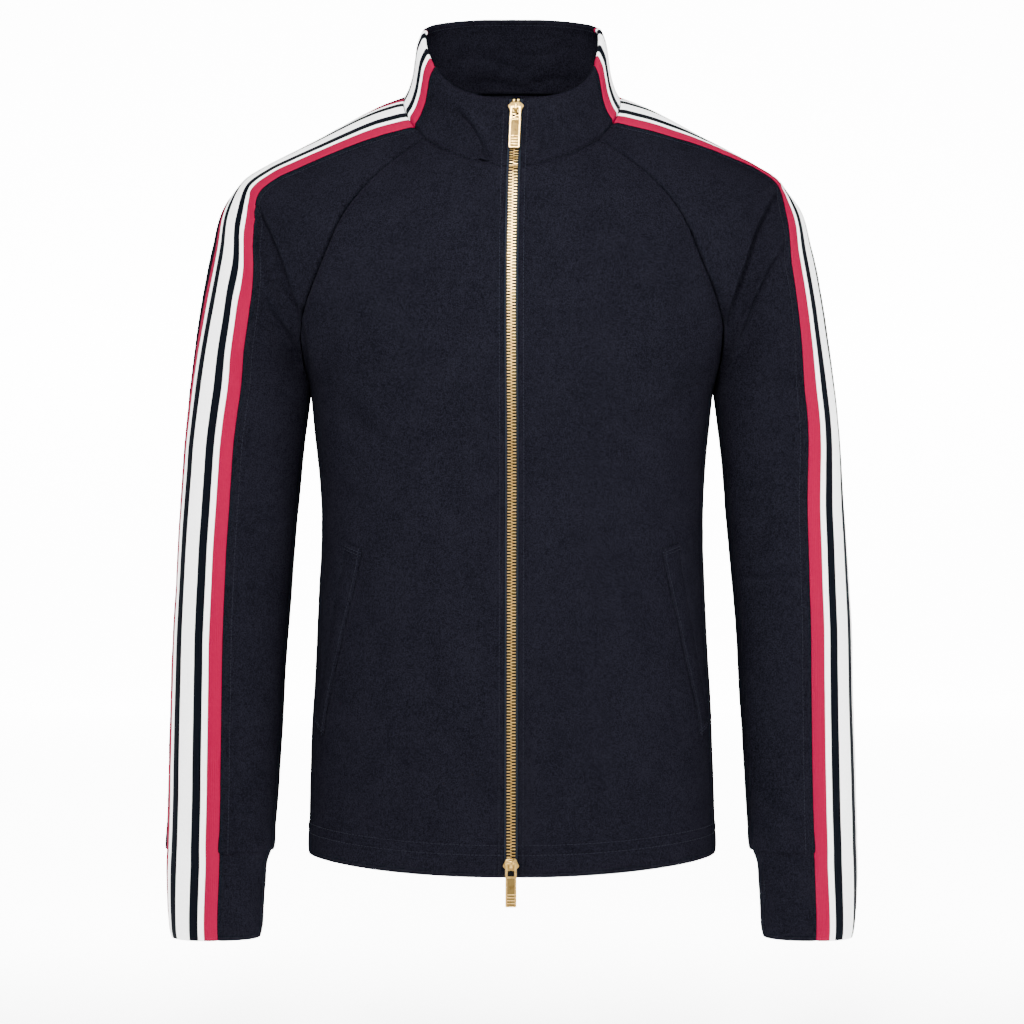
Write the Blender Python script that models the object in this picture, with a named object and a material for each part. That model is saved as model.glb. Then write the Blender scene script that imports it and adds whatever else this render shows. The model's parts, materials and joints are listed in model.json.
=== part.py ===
"""Zip track jacket: stand collar, raglan sleeves with an inset stripe tape, welt pockets, two-way metal zip.

It is filled out as if worn, with no wearer, and open at the neck, hem and cuffs.
+Z is up and the front faces -Y. The origin is the middle of the neck opening, level with the shoulders.
Lengths in this file are millimetres, made metres when a mesh is written.
"Right" and "left" are the wearer's: the wearer's right side lies at -X.
"""

import math

import bmesh
import bpy
import numpy as np

TO_METRES = 0.001
RIGHT, LEFT = -1, 1


def table(columns, *rows):
    """The rows as one array of numbers for each named column."""
    return dict(zip(columns.split(), np.array(rows, float).T))


# Cloth and seams
CLOTH = 2.2
FACING_CLOTH = 1.8
WELT_CLOTH = 1.5
SEAM_GAP = 0.3
VALLEY_GAP = 0.25
STRIPE_WIDTH = 62.0
ALIKE = 0.35

# Columns of faces across each panel
SIDE_COLUMNS, WELT_COLUMNS, CHEST_COLUMNS, BACK_HALF_COLUMNS = 2, 1, 5, 7
SLEEVE_FRONT_COLUMNS, STRIPE_COLUMNS, SLEEVE_BACK_COLUMNS = 6, 3, 5
FACING_STEP = 14.0
FACING_RAISED = 0.7
FACING_EASE = 0.9

# Dense lines: points to a quarter of a row or ring, and to a fold
SAMPLES = 240
FOLD_SAMPLES = 24
FOLD_TAPER = 0.6

# Zip. Depths are measured outwards from the cloth's outer face.
ZIP_HALF_OPENING = 6.5
ZIP_TAPE_CLOTH = 0.9
ZIP_TAPE_INNER = 3.7
ZIP_TAPE_DEPTH = -0.5
ZIP_ROWS = 30
CHAIN_INNER, CHAIN_OUTER = 0.15, 3.4
CHAIN_THICKNESS = 3.2
CHAIN_DEPTH = 0.7
SLIDER_LENGTH = 12.0
SLIDER_FROM_TOP = 11.5
SLIDER_FROM_HEM = 11.5
SLIDER_GAP = 0.4

# Pull tab and the crown it hangs from, in the slider's own frame: across, along the zip, outwards.
TAB_HALF_WIDTH, TAB_LENGTH, TAB_THICKNESS = 4.5, 36.5, 1.5
TAB_SHOULDER, TAB_CORNER = 3.4, 1.2
WINDOW_HALF_WIDTH, WINDOW_LENGTH, WINDOW_CORNER = 2.7, 7.0, 0.6
PIVOT_HEIGHT = 4.2
TOP_TAB_LEAN = 4.5
CROWN_HALF_WIDTH = 1.3
CROWN_PROFILE = (
    (-3.4, 2.6), (-1.5, 2.6), (-1.5, 5.1), (-1.1, 5.5), (1.1, 5.5), (1.5, 5.1),
    (1.5, 2.6), (3.4, 2.6), (3.4, 5.1), (2.2, 6.7), (-2.2, 6.7), (-3.4, 5.1),
)
# The slider's body, a row for each level along the zip: half widths of the front and back plates.
SLIDER = table(
    "along front back", (-6, 3.6, 3.2), (-4.8, 4.6, 4.2), (1.5, 6.0, 5.2), (4.8, 6.7, 5.7), (6, 5.6, 4.6)
)
SLIDER_POST = 0.8
FRONT_PLATE, BACK_PLATE = (1.0, 2.3), (-4.1, -2.8)

# The body below the armholes, a row for each level: the side seam, the middle of the front and of the back,
# and how far the middle hangs below the side.
BODY = table(
    "z side front back dip",
    (-228.5, 172.6, 118, 111, 0.0),
    (-262.0, 169.0, 117, 108, 0.5),
    (-296.0, 165.6, 115, 104, 1.0),
    (-330.0, 163.6, 113, 101, 1.5),
    (-362.0, 163.8, 112, 99, 2.0),
    (-399.0, 165.6, 111, 98, 2.6),
    (-436.0, 167.4, 111, 99, 3.4),
    (-473.0, 169.2, 111, 100, 4.4),
    (-511.0, 171.4, 112, 102, 5.6),
    (-549.0, 172.8, 112, 104, 6.8),
    (-587.0, 173.8, 112, 106, 8.2),
    (-623.5, 174.4, 112, 107, 9.6),
)

# The yoke, a row for each raglan section from the neck to the armpit, for the wearer's left side.
# f, r and b are points of the front seam, the shoulder ridge and the back seam. Spread is the angle, either
# side of the ridge, at which the section meets the seams: 180 closes the sleeve. cf and cb are the middle of
# the front and of the back on the same row.
YOKE = table(
    "fx fy fz rx ry rz bx by bz spread cf_y cf_z cb_y cb_z",
    (74.0, -55, -17, 94.0, 0, 21.0, 66.0, 48, 30, 58, -88.0, -43.7, 72.0, 33.0),
    (96.0, -60, -33, 120.0, 3, 12.5, 84.0, 57, 14, 62, -92.5, -56.0, 79.0, 18.0),
    (113.0, -65, -47, 145.0, 5, 0.5, 101.0, 64, -4, 66, -96.5, -70.0, 86.0, 2.0),
    (127.0, -70, -62, 168.0, 6, -11.5, 116.0, 70, -24, 71, -100.5, -85.0, 92.0, -15.0),
    (139.0, -75, -78, 190.0, 6, -22.5, 129.0, 75, -45, 76, -104.0, -100.0, 97.0, -33.0),
    (147.5, -79, -94, 210.0, 6, -33.0, 140.0, 79, -67, 82, -107.0, -115.0, 101.5, -52.0),
    (155.0, -81, -113, 230.5, 5, -47.0, 150.0, 80, -90, 88, -110.0, -131.0, 105.0, -75.0),
    (163.0, -78, -133, 246.5, 4, -69.0, 159.0, 77, -115, 95, -112.5, -148.0, 108.0, -100.0),
    (171.5, -70, -155, 257.5, 3, -106.0, 167.5, 69, -142, 106, -114.5, -167.0, 110.0, -130.0),
    (177.5, -54, -178, 265.5, 2, -144.0, 174.5, 54, -170, 122, -116.2, -187.0, 111.0, -162.0),
    (177.0, -31, -203, 272.0, 1, -187.0, 176.0, 31, -200, 147, -117.3, -208.0, 111.5, -195.0),
    (173.0, 0, -228.5, 277.2, 0, -230.0, 173.0, 0, -228.5, 180, -118.0, -228.5, 111.0, -228.5),
)

# The sleeve below the armpit, a row for each ring: its level, the outer and inner edge, the middle from front
# to back, and half its depth.
RING_COLUMNS = "z outer inner middle depth"
SLEEVE = table(
    RING_COLUMNS,
    (-252.0, 279.6, 175.6, -1, 45.5),
    (-276.0, 281.6, 178.6, -2, 44.0),
    (-302.0, 283.0, 181.0, -3, 43.0),
    (-330.0, 284.6, 183.2, -5, 42.0),
    (-362.0, 286.6, 185.8, -7, 41.5),
    (-396.0, 288.4, 188.4, -9, 41.0),
    (-430.0, 290.2, 191.0, -12, 40.5),
    (-466.0, 291.0, 193.0, -15, 40.0),
    (-504.0, 291.6, 195.0, -18, 39.5),
    (-542.0, 292.2, 197.2, -21, 39.0),
    (-578.0, 292.7, 199.4, -24, 38.5),
    (-604.0, 293.1, 201.2, -26, 38.0),
    (-618.0, 293.3, 202.6, -27, 37.0),
)
CUFF = table(
    RING_COLUMNS,
    (-618.0, 293.3, 202.6, -27, 37.0),
    (-625.0, 293.5, 206.6, -27.5, 34.8),
    (-648.0, 293.4, 209.6, -28, 33.6),
    (-667.0, 292.6, 210.8, -29, 33.0),
    (-682.0, 291.3, 211.6, -29.6, 32.3),
    (-692.5, 289.8, 212.8, -30, 31.4),
)

# The thumb slit beside the cuff's inner seam: its edges, as shares of the first column, and its rows of cells.
THUMB_SLIT_SHARES = (0.62, 0.74)
THUMB_SLIT_ROWS = (2, 3)

# How a row of the body bows from its side to its middle: the power of its sides, its roundness at the neck
# and from the armpit down, and how fast its level falls.
BODY_SQUARENESS = 2.35
NECK_ROUNDNESS, ARMPIT_ROUNDNESS = 1.0, 2.15
ROUNDING_RATE = 2.2
NECK_DROP, ARMPIT_DROP = 2.0, 1.4
BACK_DIP_SHARE = 0.5
# The sleeve's rings: the power of their sides, and half the depth of the one at the armpit.
RING_SQUARENESS = 0.88
ARMPIT_HALF_DEPTH = 48.0

# How far the front edge of the stripe tape lies ahead of the sleeve's outer line, on each side, for each
# section of the yoke and then along the rest of the sleeve.
STRIPE_AHEAD = table(
    "section right left",
    (0, 51, 42.5),
    (1.5, 50, 37.5),
    (3, 47.5, 26),
    (4.5, 48.5, 19.5),
    (5.7, 51, 19.5),
    (6.4, 61, 31),
    (7, 75, 48),
    (8, 87.5, 60.5),
    (9, 85.5, 61),
    (10.5, 78, 58),
    (12, 73, 55),
    (15, 69, 58),
    (19, 69, 61),
    (24, 68, 60),
    (29, 60, 51.5),
)

# The stand collar: the share of the way from the neck seam's ring to the top edge's ring, at each height.
COLLAR_RISE = table("height inward", (0, 0), (0.13, 0.26), (0.34, 0.5), (0.6, 0.64), (0.84, 0.78), (1, 1))
# Its top edge, by the angle round the neck from the middle of the front.
COLLAR_TOP = table(
    "angle right left",
    (0, 14.5, 14.5),
    (20, 17.5, 16.6),
    (36, 24.5, 21.5),
    (59, 45, 38),
    (72, 60, 55),
    (90, 79, 79),
    (110, 88, 88),
    (130, 94, 94),
    (160, 99.7, 99.7),
    (180, 100.5, 100.5),
)
NECK_CENTRE_Y = -5.0
COLLAR_TOP_HALF_WIDTH, COLLAR_TOP_DEPTH = 77.0, 62.0
# Where the cloth above a place on the neck seam meets the top edge, as angles: the tape leans forwards.
COLLAR_LEAN = table(
    "seam right left", (0, 0, 0), (40, 32, 34), (66, 59.5, 62), (78, 72, 75), (111, 110, 112), (180, 180, 180)
)

# The middle of the zip wanders a little from the middle of the front.
ZIP_MIDDLE = table("z x", (-640, -0.9), (-330, -0.2), (-44, 1.2), (20, 3.8))

# Where the pocket's welt crosses each row of the front, from the side seam, as shares of the row.
POCKET_LINE = table(
    "z rear front",
    (60, 0.22, 0.34),
    (-228, 0.30, 0.40),
    (-362, 0.34, 0.43),
    (-436, 0.26, 0.345),
    (-511, 0.165, 0.25),
    (-623, 0.13, 0.21),
)
POCKET_TOP, POCKET_FOOT = -362.0, -511.0

# The deepest folds, for the wearer's right side and then the left: points of the fold's line, its depth, and
# its half width. Each runs from the shoulder to the armpit.
FOLDS = {
    RIGHT: (
        (((-224, -50, -72), (-205, -72, -108), (-193, -72, -148), (-181, -60, -190)), 6.5, 15),
        (((-212, -70, -150), (-190, -62, -205)), 4.0, 13),
        (((-222, 52, -70), (-205, 72, -112), (-188, 66, -165)), 5.5, 16),
    ),
    LEFT: (
        (((228, -48, -62), (214, -70, -100), (198, -76, -135), (186, -66, -178)), 6.5, 15),
        (((234, -62, -112), (214, -66, -160), (190, -58, -205)), 4.5, 13),
        (((224, 52, -74), (206, 72, -118), (186, 64, -172)), 5.5, 16),
    ),
}


def along(at, xs, values):
    """A smooth curve through the values at xs, read at the given places."""
    xs, values = np.asarray(xs, float), np.asarray(values, float)
    if xs[0] > xs[-1]:
        xs, values = xs[::-1], values[::-1]
    slopes = np.gradient(values, xs, axis=0)
    at = np.clip(np.atleast_1d(np.asarray(at, float)), xs[0], xs[-1])
    cell = np.clip(np.searchsorted(xs, at, side="right") - 1, 0, len(xs) - 2)
    step = xs[cell + 1] - xs[cell]
    share = (at - xs[cell]) / step
    h00, h10 = 2 * share**3 - 3 * share**2 + 1, share**3 - 2 * share**2 + share
    h01, h11 = 1 - h00, share**3 - share**2
    before = h00 * values[cell] + h10 * step * slopes[cell]
    return before + h01 * values[cell + 1] + h11 * step * slopes[cell + 1]


def lengths_along(line):
    """The distance from the first point to each point of a line."""
    return np.concatenate([[0], np.cumsum(np.linalg.norm(np.diff(line, axis=0), axis=1))])


def at_lengths(line, distances):
    """The points of a line at the given distances from its start."""
    run = lengths_along(line)
    return np.stack([np.interp(distances, run, line[:, k]) for k in range(3)], axis=1)


def spread_columns(stops, counts):
    """Distances from the first stop to the last, evenly spaced within each stretch."""
    parts = [np.linspace(a, b, n + 1)[:-1] for a, b, n in zip(stops, stops[1:], counts)]
    return np.concatenate(parts + [[stops[-1]]])


def fold_depth(points, side):
    """How far each point sinks into the folds of its side."""
    sunk = np.zeros(len(points))
    for corners, depth, half_width in FOLDS[side]:
        corners = np.array(corners, float)
        line = at_lengths(corners, np.linspace(0, lengths_along(corners)[-1], FOLD_SAMPLES))
        away = np.linalg.norm(points[:, None] - line[None], axis=2)
        nearest = away.argmin(axis=1)
        taper = np.sin(np.pi * (nearest + 2) / (FOLD_SAMPLES + 3)) ** FOLD_TAPER
        sunk += depth * taper * np.exp(-((away.min(axis=1) / half_width) ** 2))
    return sunk


# ---------------------------------------------------------------- forms


def side_row(index):
    """The front seam point, row heights and middles of one row of the body: yoke rows, then body rows."""
    yoke_rows = len(YOKE["fx"])
    if index < yoke_rows:
        row = {name: values[index] for name, values in YOKE.items()}
        closing = index / (yoke_rows - 1)
        return {
            "front": (row["fx"], row["fy"], row["fz"]),
            "back": (row["bx"], row["by"], row["bz"]),
            "cf": (row["cf_y"], row["cf_z"]),
            "cb": (row["cb_y"], row["cb_z"]),
            "roundness": NECK_ROUNDNESS + (ARMPIT_ROUNDNESS - NECK_ROUNDNESS) * closing**ROUNDING_RATE,
            "drop": NECK_DROP + (ARMPIT_DROP - NECK_DROP) * closing,
        }
    row = {name: values[index - yoke_rows + 1] for name, values in BODY.items()}
    return {
        "front": (row["side"], 0.0, row["z"]),
        "back": (row["side"], 0.0, row["z"]),
        "cf": (-row["front"], row["z"] - row["dip"]),
        "cb": (row["back"], row["z"] - BACK_DIP_SHARE * row["dip"]),
        "roundness": ARMPIT_ROUNDNESS,
        "drop": NECK_DROP,
    }


BODY_ROWS = len(YOKE["fx"]) + len(BODY["z"]) - 1


def body_row(index, side, face):
    """A row of the body from its side to the middle, as a dense line. face is 'front' or 'back'."""
    row = side_row(index)
    edge = np.array(row[face])
    middle_y, middle_z = row["cf" if face == "front" else "cb"]
    turn = np.linspace(0, math.pi / 2, SAMPLES)
    across = np.cos(turn)
    bulge = (1 - across**BODY_SQUARENESS) ** (1 / row["roundness"])
    x = edge[0] * across
    y = edge[1] + (middle_y - edge[1]) * bulge
    z = edge[2] + (middle_z - edge[2]) * (1 - across ** row["drop"])
    return np.stack([side * x, y, z], axis=1)


def zip_middle(z):
    """The x of the middle of the zip at a height."""
    return along(z, ZIP_MIDDLE["z"], ZIP_MIDDLE["x"])


def front_grid(side):
    """Points of a front panel, rows from the neck to the hem and columns from its side to the zip."""
    rows = []
    for index in range(BODY_ROWS):
        line = body_row(index, side, "front")
        edge_x = zip_middle(line[-1, 2])[0] + side * ZIP_HALF_OPENING
        keep = side * line[:, 0] > side * edge_x
        end = np.array([edge_x, *(line[-1, 1:])])
        line = np.vstack([line[keep], end])
        length = lengths_along(line)[-1]
        rear = along(line[0, 2], POCKET_LINE["z"], POCKET_LINE["rear"])[0]
        front = along(line[0, 2], POCKET_LINE["z"], POCKET_LINE["front"])[0]
        stops = np.array([0, rear, front, 1]) * length
        rows.append(at_lengths(line, spread_columns(stops, (SIDE_COLUMNS, WELT_COLUMNS, CHEST_COLUMNS))))
    return np.array(rows)


def back_grid():
    """Points of the back, rows from the neck to the hem and columns from the wearer's right to the left."""
    rows = []
    for index in range(BODY_ROWS):
        halves = []
        for side in (RIGHT, LEFT):
            line = body_row(index, side, "back")
            halves.append(at_lengths(line, np.linspace(0, lengths_along(line)[-1], BACK_HALF_COLUMNS + 1)))
        rows.append(np.vstack([halves[0], halves[1][-2::-1]]))
    return np.array(rows)


def section_line(front, ridge, back, spread):
    """A dense arc from the front point over the ridge to the back point."""
    front, ridge, back = (np.array(point, float) for point in (front, ridge, back))
    angle = math.radians(spread)
    share = math.cos(angle)
    centre = ((front + back) / 2 - ridge * share) / (1 - share)
    out = ridge - centre
    turns = np.linspace(-angle, angle, 2 * SAMPLES + 1)
    ahead = (front - back) / 2 / math.sin(angle)
    return centre + out * np.cos(turns)[:, None] - ahead * np.sin(turns)[:, None]


def ring_line(z, outer, inner, middle, depth):
    """A dense ring of the sleeve from its underarm seam, round the front and outer side, back to the seam."""
    turns = np.linspace(-math.pi, math.pi, 2 * SAMPLES + 1)
    across = np.sign(np.cos(turns)) * np.abs(np.cos(turns)) ** RING_SQUARENESS
    ahead = np.sign(np.sin(turns)) * np.abs(np.sin(turns)) ** RING_SQUARENESS
    x = (outer + inner) / 2 + (outer - inner) / 2 * across
    return np.stack([x, middle + depth * ahead, np.full_like(x, z)], axis=1)


def sleeve_sections():
    """Every section of the wearer's left sleeve from the neck to the cuff seam, as dense lines."""
    sections = []
    for index in range(len(YOKE["fx"]) - 1):
        row = {name: values[index] for name, values in YOKE.items()}
        front = (row["fx"], row["fy"], row["fz"])
        ridge = (row["rx"], row["ry"], row["rz"])
        back = (row["bx"], row["by"], row["bz"])
        sections.append(section_line(front, ridge, back, row["spread"]))
    armpit = {name: values[-1] for name, values in YOKE.items()}
    sections.append(ring_line(armpit["fz"], armpit["rx"], armpit["fx"], 0.0, ARMPIT_HALF_DEPTH))
    return sections + rings_of(SLEEVE)


def rings_of(rings):
    """The dense rings of a table of rings."""
    return [ring_line(*row) for row in zip(*(rings[name] for name in RING_COLUMNS.split()))]


def sleeve_rows(sections, side, first_section):
    """Rows of points of a whole sleeve or cuff, and the columns where the stripe tape starts and ends."""
    mirror = np.array([side, 1, 1])
    name = "right" if side == RIGHT else "left"
    rows = []
    for index, line in enumerate(sections):
        run = lengths_along(line)
        ridge = run[len(line) // 2]
        ahead = along(first_section + index, STRIPE_AHEAD["section"], STRIPE_AHEAD[name])[0]
        stops = (0, ridge - ahead, ridge - ahead + STRIPE_WIDTH, run[-1])
        counts = (SLEEVE_FRONT_COLUMNS, STRIPE_COLUMNS, SLEEVE_BACK_COLUMNS)
        rows.append(at_lengths(line, spread_columns(stops, counts)) * mirror)
    return np.array(rows)


def collar_columns(front, sleeve, back, side):
    """The points of the neck seam round one half, from the zip to the middle of the back."""
    half = (back if side == RIGHT else back[::-1])[: BACK_HALF_COLUMNS + 1]
    return np.vstack([front[::-1], sleeve[1:-1], half])


def collar_grid(seam, side):
    """Points of half the collar, rows from the neck seam to the top edge and columns from zip to back."""
    below = np.degrees(np.arctan2(np.abs(seam[:, 0]), -(seam[:, 1] - NECK_CENTRE_Y)))
    hand = "right" if side == RIGHT else "left"
    angle = along(below, COLLAR_LEAN["seam"], COLLAR_LEAN[hand])
    turn = np.radians(angle)
    top = np.stack(
        [
            side * COLLAR_TOP_HALF_WIDTH * np.sin(turn),
            NECK_CENTRE_Y - COLLAR_TOP_DEPTH * np.cos(turn),
            along(angle, COLLAR_TOP["angle"], COLLAR_TOP[hand]),
        ],
        axis=1,
    )
    rows = []
    for height, inward in zip(COLLAR_RISE["height"], COLLAR_RISE["inward"]):
        share = np.array([inward, inward, height])
        rows.append(seam + (top - seam) * share)
    grid = np.array(rows)
    grid[:, 0, 0] = zip_middle(grid[:, 0, 2]) + side * ZIP_HALF_OPENING
    return grid


# ---------------------------------------------------------------- walls


class Panel:
    """A piece of cloth as a grid of points on its outer face, waiting for its wall."""

    def __init__(self, name, points, core, thickness, finish):
        self.name, self.points, self.thickness, self.finish = name, points, thickness, finish
        self.holes = []
        along_rows = np.gradient(points, axis=0)
        along_columns = np.gradient(points, axis=1)
        normals = np.cross(along_rows, along_columns)
        normals /= np.linalg.norm(normals, axis=2, keepdims=True)
        if (normals * (points - core)).sum() < 0:
            normals = -normals
        self.normals = normals
        self.tight = np.zeros(points.shape[:2], bool)


def cut_thumb_slit(cuff, side):
    """Puts two columns into a cuff, either side of the thumb slit, and opens the cells between them."""
    seam = SLEEVE_BACK_COLUMNS
    left = seam if side == LEFT else seam - 1
    shares = THUMB_SLIT_SHARES if side == LEFT else [1 - share for share in reversed(THUMB_SLIT_SHARES)]
    for values in (cuff.points, cuff.normals):
        near, far = values[:, left : left + 1], values[:, left + 1 : left + 2]
        edges = [near + (far - near) * share for share in shares]
        grid = np.concatenate([values[:, : left + 1], *edges, values[:, left + 1 :]], axis=1)
        if values is cuff.points:
            points = grid
        else:
            cuff.normals = grid / np.linalg.norm(grid, axis=2, keepdims=True)
    cuff.points = points
    cuff.tight = np.zeros(points.shape[:2], bool)
    cuff.holes = [(row, left + 1) for row in THUMB_SLIT_ROWS]


def share_seam_normals(panels):
    """Panels that meet at a point thicken the same way there, unless they fold sharply against each other."""
    meeting = {}
    for panel in panels:
        for row, column in np.ndindex(panel.points.shape[:2]):
            meeting.setdefault(tuple(np.round(panel.points[row, column], 2)), []).append((panel, row, column))
    for places in meeting.values():
        if len(places) < 2:
            continue
        normals = [panel.normals[row, column].copy() for panel, row, column in places]
        for (panel, row, column), own in zip(places, normals):
            alike = [other for other in normals if own @ other > ALIKE]
            total = np.sum(alike, axis=0)
            panel.normals[row, column] = total / np.linalg.norm(total)
            panel.tight[row, column] = len(alike) < len(normals)


def pull_back_edges(points, normals, tight):
    """The grid with its edges drawn in by half a seam gap, so that neighbours stay clear."""
    moved = points.copy()
    for axis in (0, 1):
        grid = np.moveaxis(points, axis, 0)
        shifted = np.moveaxis(moved, axis, 0)
        for edge, inner in ((0, 1), (-1, -2)):
            inward = grid[inner] - grid[edge]
            seam = np.gradient(grid[edge], axis=0)
            seam /= np.linalg.norm(seam, axis=1, keepdims=True)
            inward -= (inward * seam).sum(axis=1, keepdims=True) * seam
            inward /= np.linalg.norm(inward, axis=1, keepdims=True)
            shifted[edge] += inward * SEAM_GAP / 2
    return moved - normals * (tight[..., None] * VALLEY_GAP)


def finish_of(colour, roughness, metallic=0.0):
    """A Principled material, made once for each colour."""
    name = f"finish_{colour}"
    if name in bpy.data.materials:
        return bpy.data.materials[name]
    channels = [int(colour[k : k + 2], 16) / 255 for k in (0, 2, 4)]
    linear = [c / 12.92 if c <= 0.04045 else ((c + 0.055) / 1.055) ** 2.4 for c in channels]
    material = bpy.data.materials.new(name)
    material.use_nodes = True
    shader = material.node_tree.nodes["Principled BSDF"]
    shader.inputs["Base Color"].default_value = (*linear, 1)
    shader.inputs["Roughness"].default_value = roughness
    shader.inputs["Metallic"].default_value = metallic
    return material


NAVY = ("1c1f29", 0.9)
STRIPED = ("d8d9e2", 0.85)
ZIP_TAPE = ("3a4658", 0.8)
GOLD = ("d9bd7c", 0.3, 1.0)


def add_object(name, points, faces, finish):
    """A mesh object from points in millimetres, with its faces turned outwards."""
    mesh = bpy.data.meshes.new(name)
    mesh.from_pydata([tuple(point * TO_METRES) for point in points], [], faces)
    shaped = bmesh.new()
    shaped.from_mesh(mesh)
    bmesh.ops.recalc_face_normals(shaped, faces=shaped.faces)
    shaped.to_mesh(mesh)
    shaped.free()
    mesh.materials.append(finish_of(*finish))
    item = bpy.data.objects.new(name, mesh)
    bpy.context.scene.collection.objects.link(item)
    return item


def add_wall(panel):
    """The closed wall of a panel: its outer face, its inner face and the edges between them."""
    rows, columns = panel.points.shape[:2]
    outer = pull_back_edges(panel.points, panel.normals, panel.tight)
    inner = outer - panel.normals * panel.thickness
    points = np.vstack([outer.reshape(-1, 3), inner.reshape(-1, 3)])
    behind = rows * columns
    cells = {(r, c) for r in range(rows - 1) for c in range(columns - 1)} - set(panel.holes)
    faces = []
    for row, column in sorted(cells):
        corners = [(row, column), (row, column + 1), (row + 1, column + 1), (row + 1, column)]
        ids = [r * columns + c for r, c in corners]
        for triangle in (ids[:3], [ids[0], *ids[2:]]):
            faces += [triangle, [i + behind for i in reversed(triangle)]]
        beyond = [(row - 1, column), (row, column + 1), (row + 1, column), (row, column - 1)]
        for edge, neighbour in enumerate(beyond):
            if neighbour not in cells:
                a, b = ids[edge], ids[(edge + 1) % 4]
                faces.append([b, a, a + behind, b + behind])
    return add_object(panel.name, points, faces, panel.finish)


# ---------------------------------------------------------------- cloth pieces


def sink_folds(points, core, side):
    """A grid of the sleeve with the deepest folds pressed into it."""
    flat = points.reshape(-1, 3)
    inward = (core - points).reshape(-1, 3)
    inward /= np.linalg.norm(inward, axis=1, keepdims=True)
    return (flat + inward * fold_depth(flat, side)[:, None]).reshape(points.shape)


def cloth_panels():
    """Every cloth panel sewn to another, and the points of each half of the collar."""
    panels, collars = [], {}
    sections = sleeve_sections()
    cuff_sections = rings_of(CUFF)
    back = back_grid()
    tape_start = SLEEVE_FRONT_COLUMNS
    tape_end = SLEEVE_FRONT_COLUMNS + STRIPE_COLUMNS
    for side, hand in ((RIGHT, "right"), (LEFT, "left")):
        sleeve = sleeve_rows(sections, side, 0)
        core = sleeve.mean(axis=1, keepdims=True)
        folded = sink_folds(sleeve, core, side)
        folded[0] = sleeve[0]
        folded[:, 0], folded[:, -1] = sleeve[:, 0], sleeve[:, -1]
        sleeve = folded
        front = front_grid(side)
        front_core = np.zeros(3) + np.array([0, 0, 1]) * front[..., 2:3]
        panels.append(Panel(f"front_{hand}", front, front_core, CLOTH, NAVY))
        panels.append(Panel(f"sleeve_front_{hand}", sleeve[:, : tape_start + 1], core, CLOTH, NAVY))
        panels.append(Panel(f"sleeve_back_{hand}", sleeve[:, tape_end:], core, CLOTH, NAVY))
        cuff = sleeve_rows(cuff_sections, side, len(sections) - 1)
        tape = np.vstack([sleeve, cuff[1:]])[:, tape_start : tape_end + 1]
        tape_core = np.vstack([core, cuff[1:].mean(axis=1, keepdims=True)])
        panels.append(Panel(f"sleeve_stripe_{hand}", tape, tape_core, CLOTH, STRIPED))
        wrap = np.concatenate([cuff[:, tape_end:], cuff[:, 1 : tape_start + 1]], axis=1)
        panels.append(Panel(f"cuff_{hand}", wrap, cuff.mean(axis=1, keepdims=True), CLOTH, NAVY))
        collar = collar_grid(collar_columns(front[0], sleeve[0], back[0], side), side)
        collars[side] = collar
        first = front.shape[1] - 1 + tape_start
        last = first + STRIPE_COLUMNS
        collar_core = np.array([0, NECK_CENTRE_Y, 0]) + np.array([0, 0, 1]) * collar[..., 2:3]
        for name, columns, finish in (
            (f"collar_front_{hand}", slice(first + 1), NAVY),
            (f"collar_stripe_{hand}", slice(first, last + 1), STRIPED),
        ):
            panels.append(Panel(name, collar[:, columns], collar_core[:, columns], CLOTH, finish))
    panels.append(Panel("back", back, np.array([0, 0, 1]) * back[..., 2:3], CLOTH, NAVY))
    collar_back = np.concatenate([collars[RIGHT][:, last:], collars[LEFT][:, -2 : last - 1 : -1]], axis=1)
    core = np.array([0, NECK_CENTRE_Y, 0]) + np.array([0, 0, 1]) * collar_back[..., 2:3]
    panels.append(Panel("collar_back", collar_back, core, CLOTH, NAVY))
    return panels, collars


def facing_panel(halves):
    """The collar's inner layer: the collar's own columns, a good step apart, moved in by the outer cloth."""
    grid = np.concatenate([halves[RIGHT], halves[LEFT][:, -2::-1]], axis=1)
    grid[0] += (grid[1] - grid[0]) * FACING_RAISED
    core = np.array([0, NECK_CENTRE_Y, 0]) + np.array([0, 0, 1]) * grid[..., 2:3]
    whole = Panel("collar_facing", grid, core, FACING_CLOTH, NAVY)
    points = grid - whole.normals * (CLOTH + FACING_EASE)
    run = lengths_along(points[0])
    kept = [0]
    for column in range(1, len(run) - 1):
        if run[column] - run[kept[-1]] >= FACING_STEP and run[-1] - run[column] >= FACING_STEP / 2:
            kept.append(column)
    kept.append(len(run) - 1)
    return Panel("collar_facing", points[:, kept], core[:, kept], FACING_CLOTH, NAVY)


def welt_panel(front, hand):
    """A pocket's welt: the cells of the front along the pocket line, moved out."""
    heights = front.points[:, 0, 2]
    rows = np.flatnonzero((heights < POCKET_TOP + 1) & (heights > POCKET_FOOT - 1))
    cells = np.ix_(rows, range(SIDE_COLUMNS, SIDE_COLUMNS + WELT_COLUMNS + 1))
    points = front.points[cells] + front.normals[cells] * (SEAM_GAP + WELT_CLOTH)
    core = np.array([0, 0, 1]) * points[..., 2:3]
    welt = Panel(f"pocket_welt_{hand}", points, core, WELT_CLOTH, NAVY)
    welt.normals = front.normals[cells]
    return welt


# ---------------------------------------------------------------- zip


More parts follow.
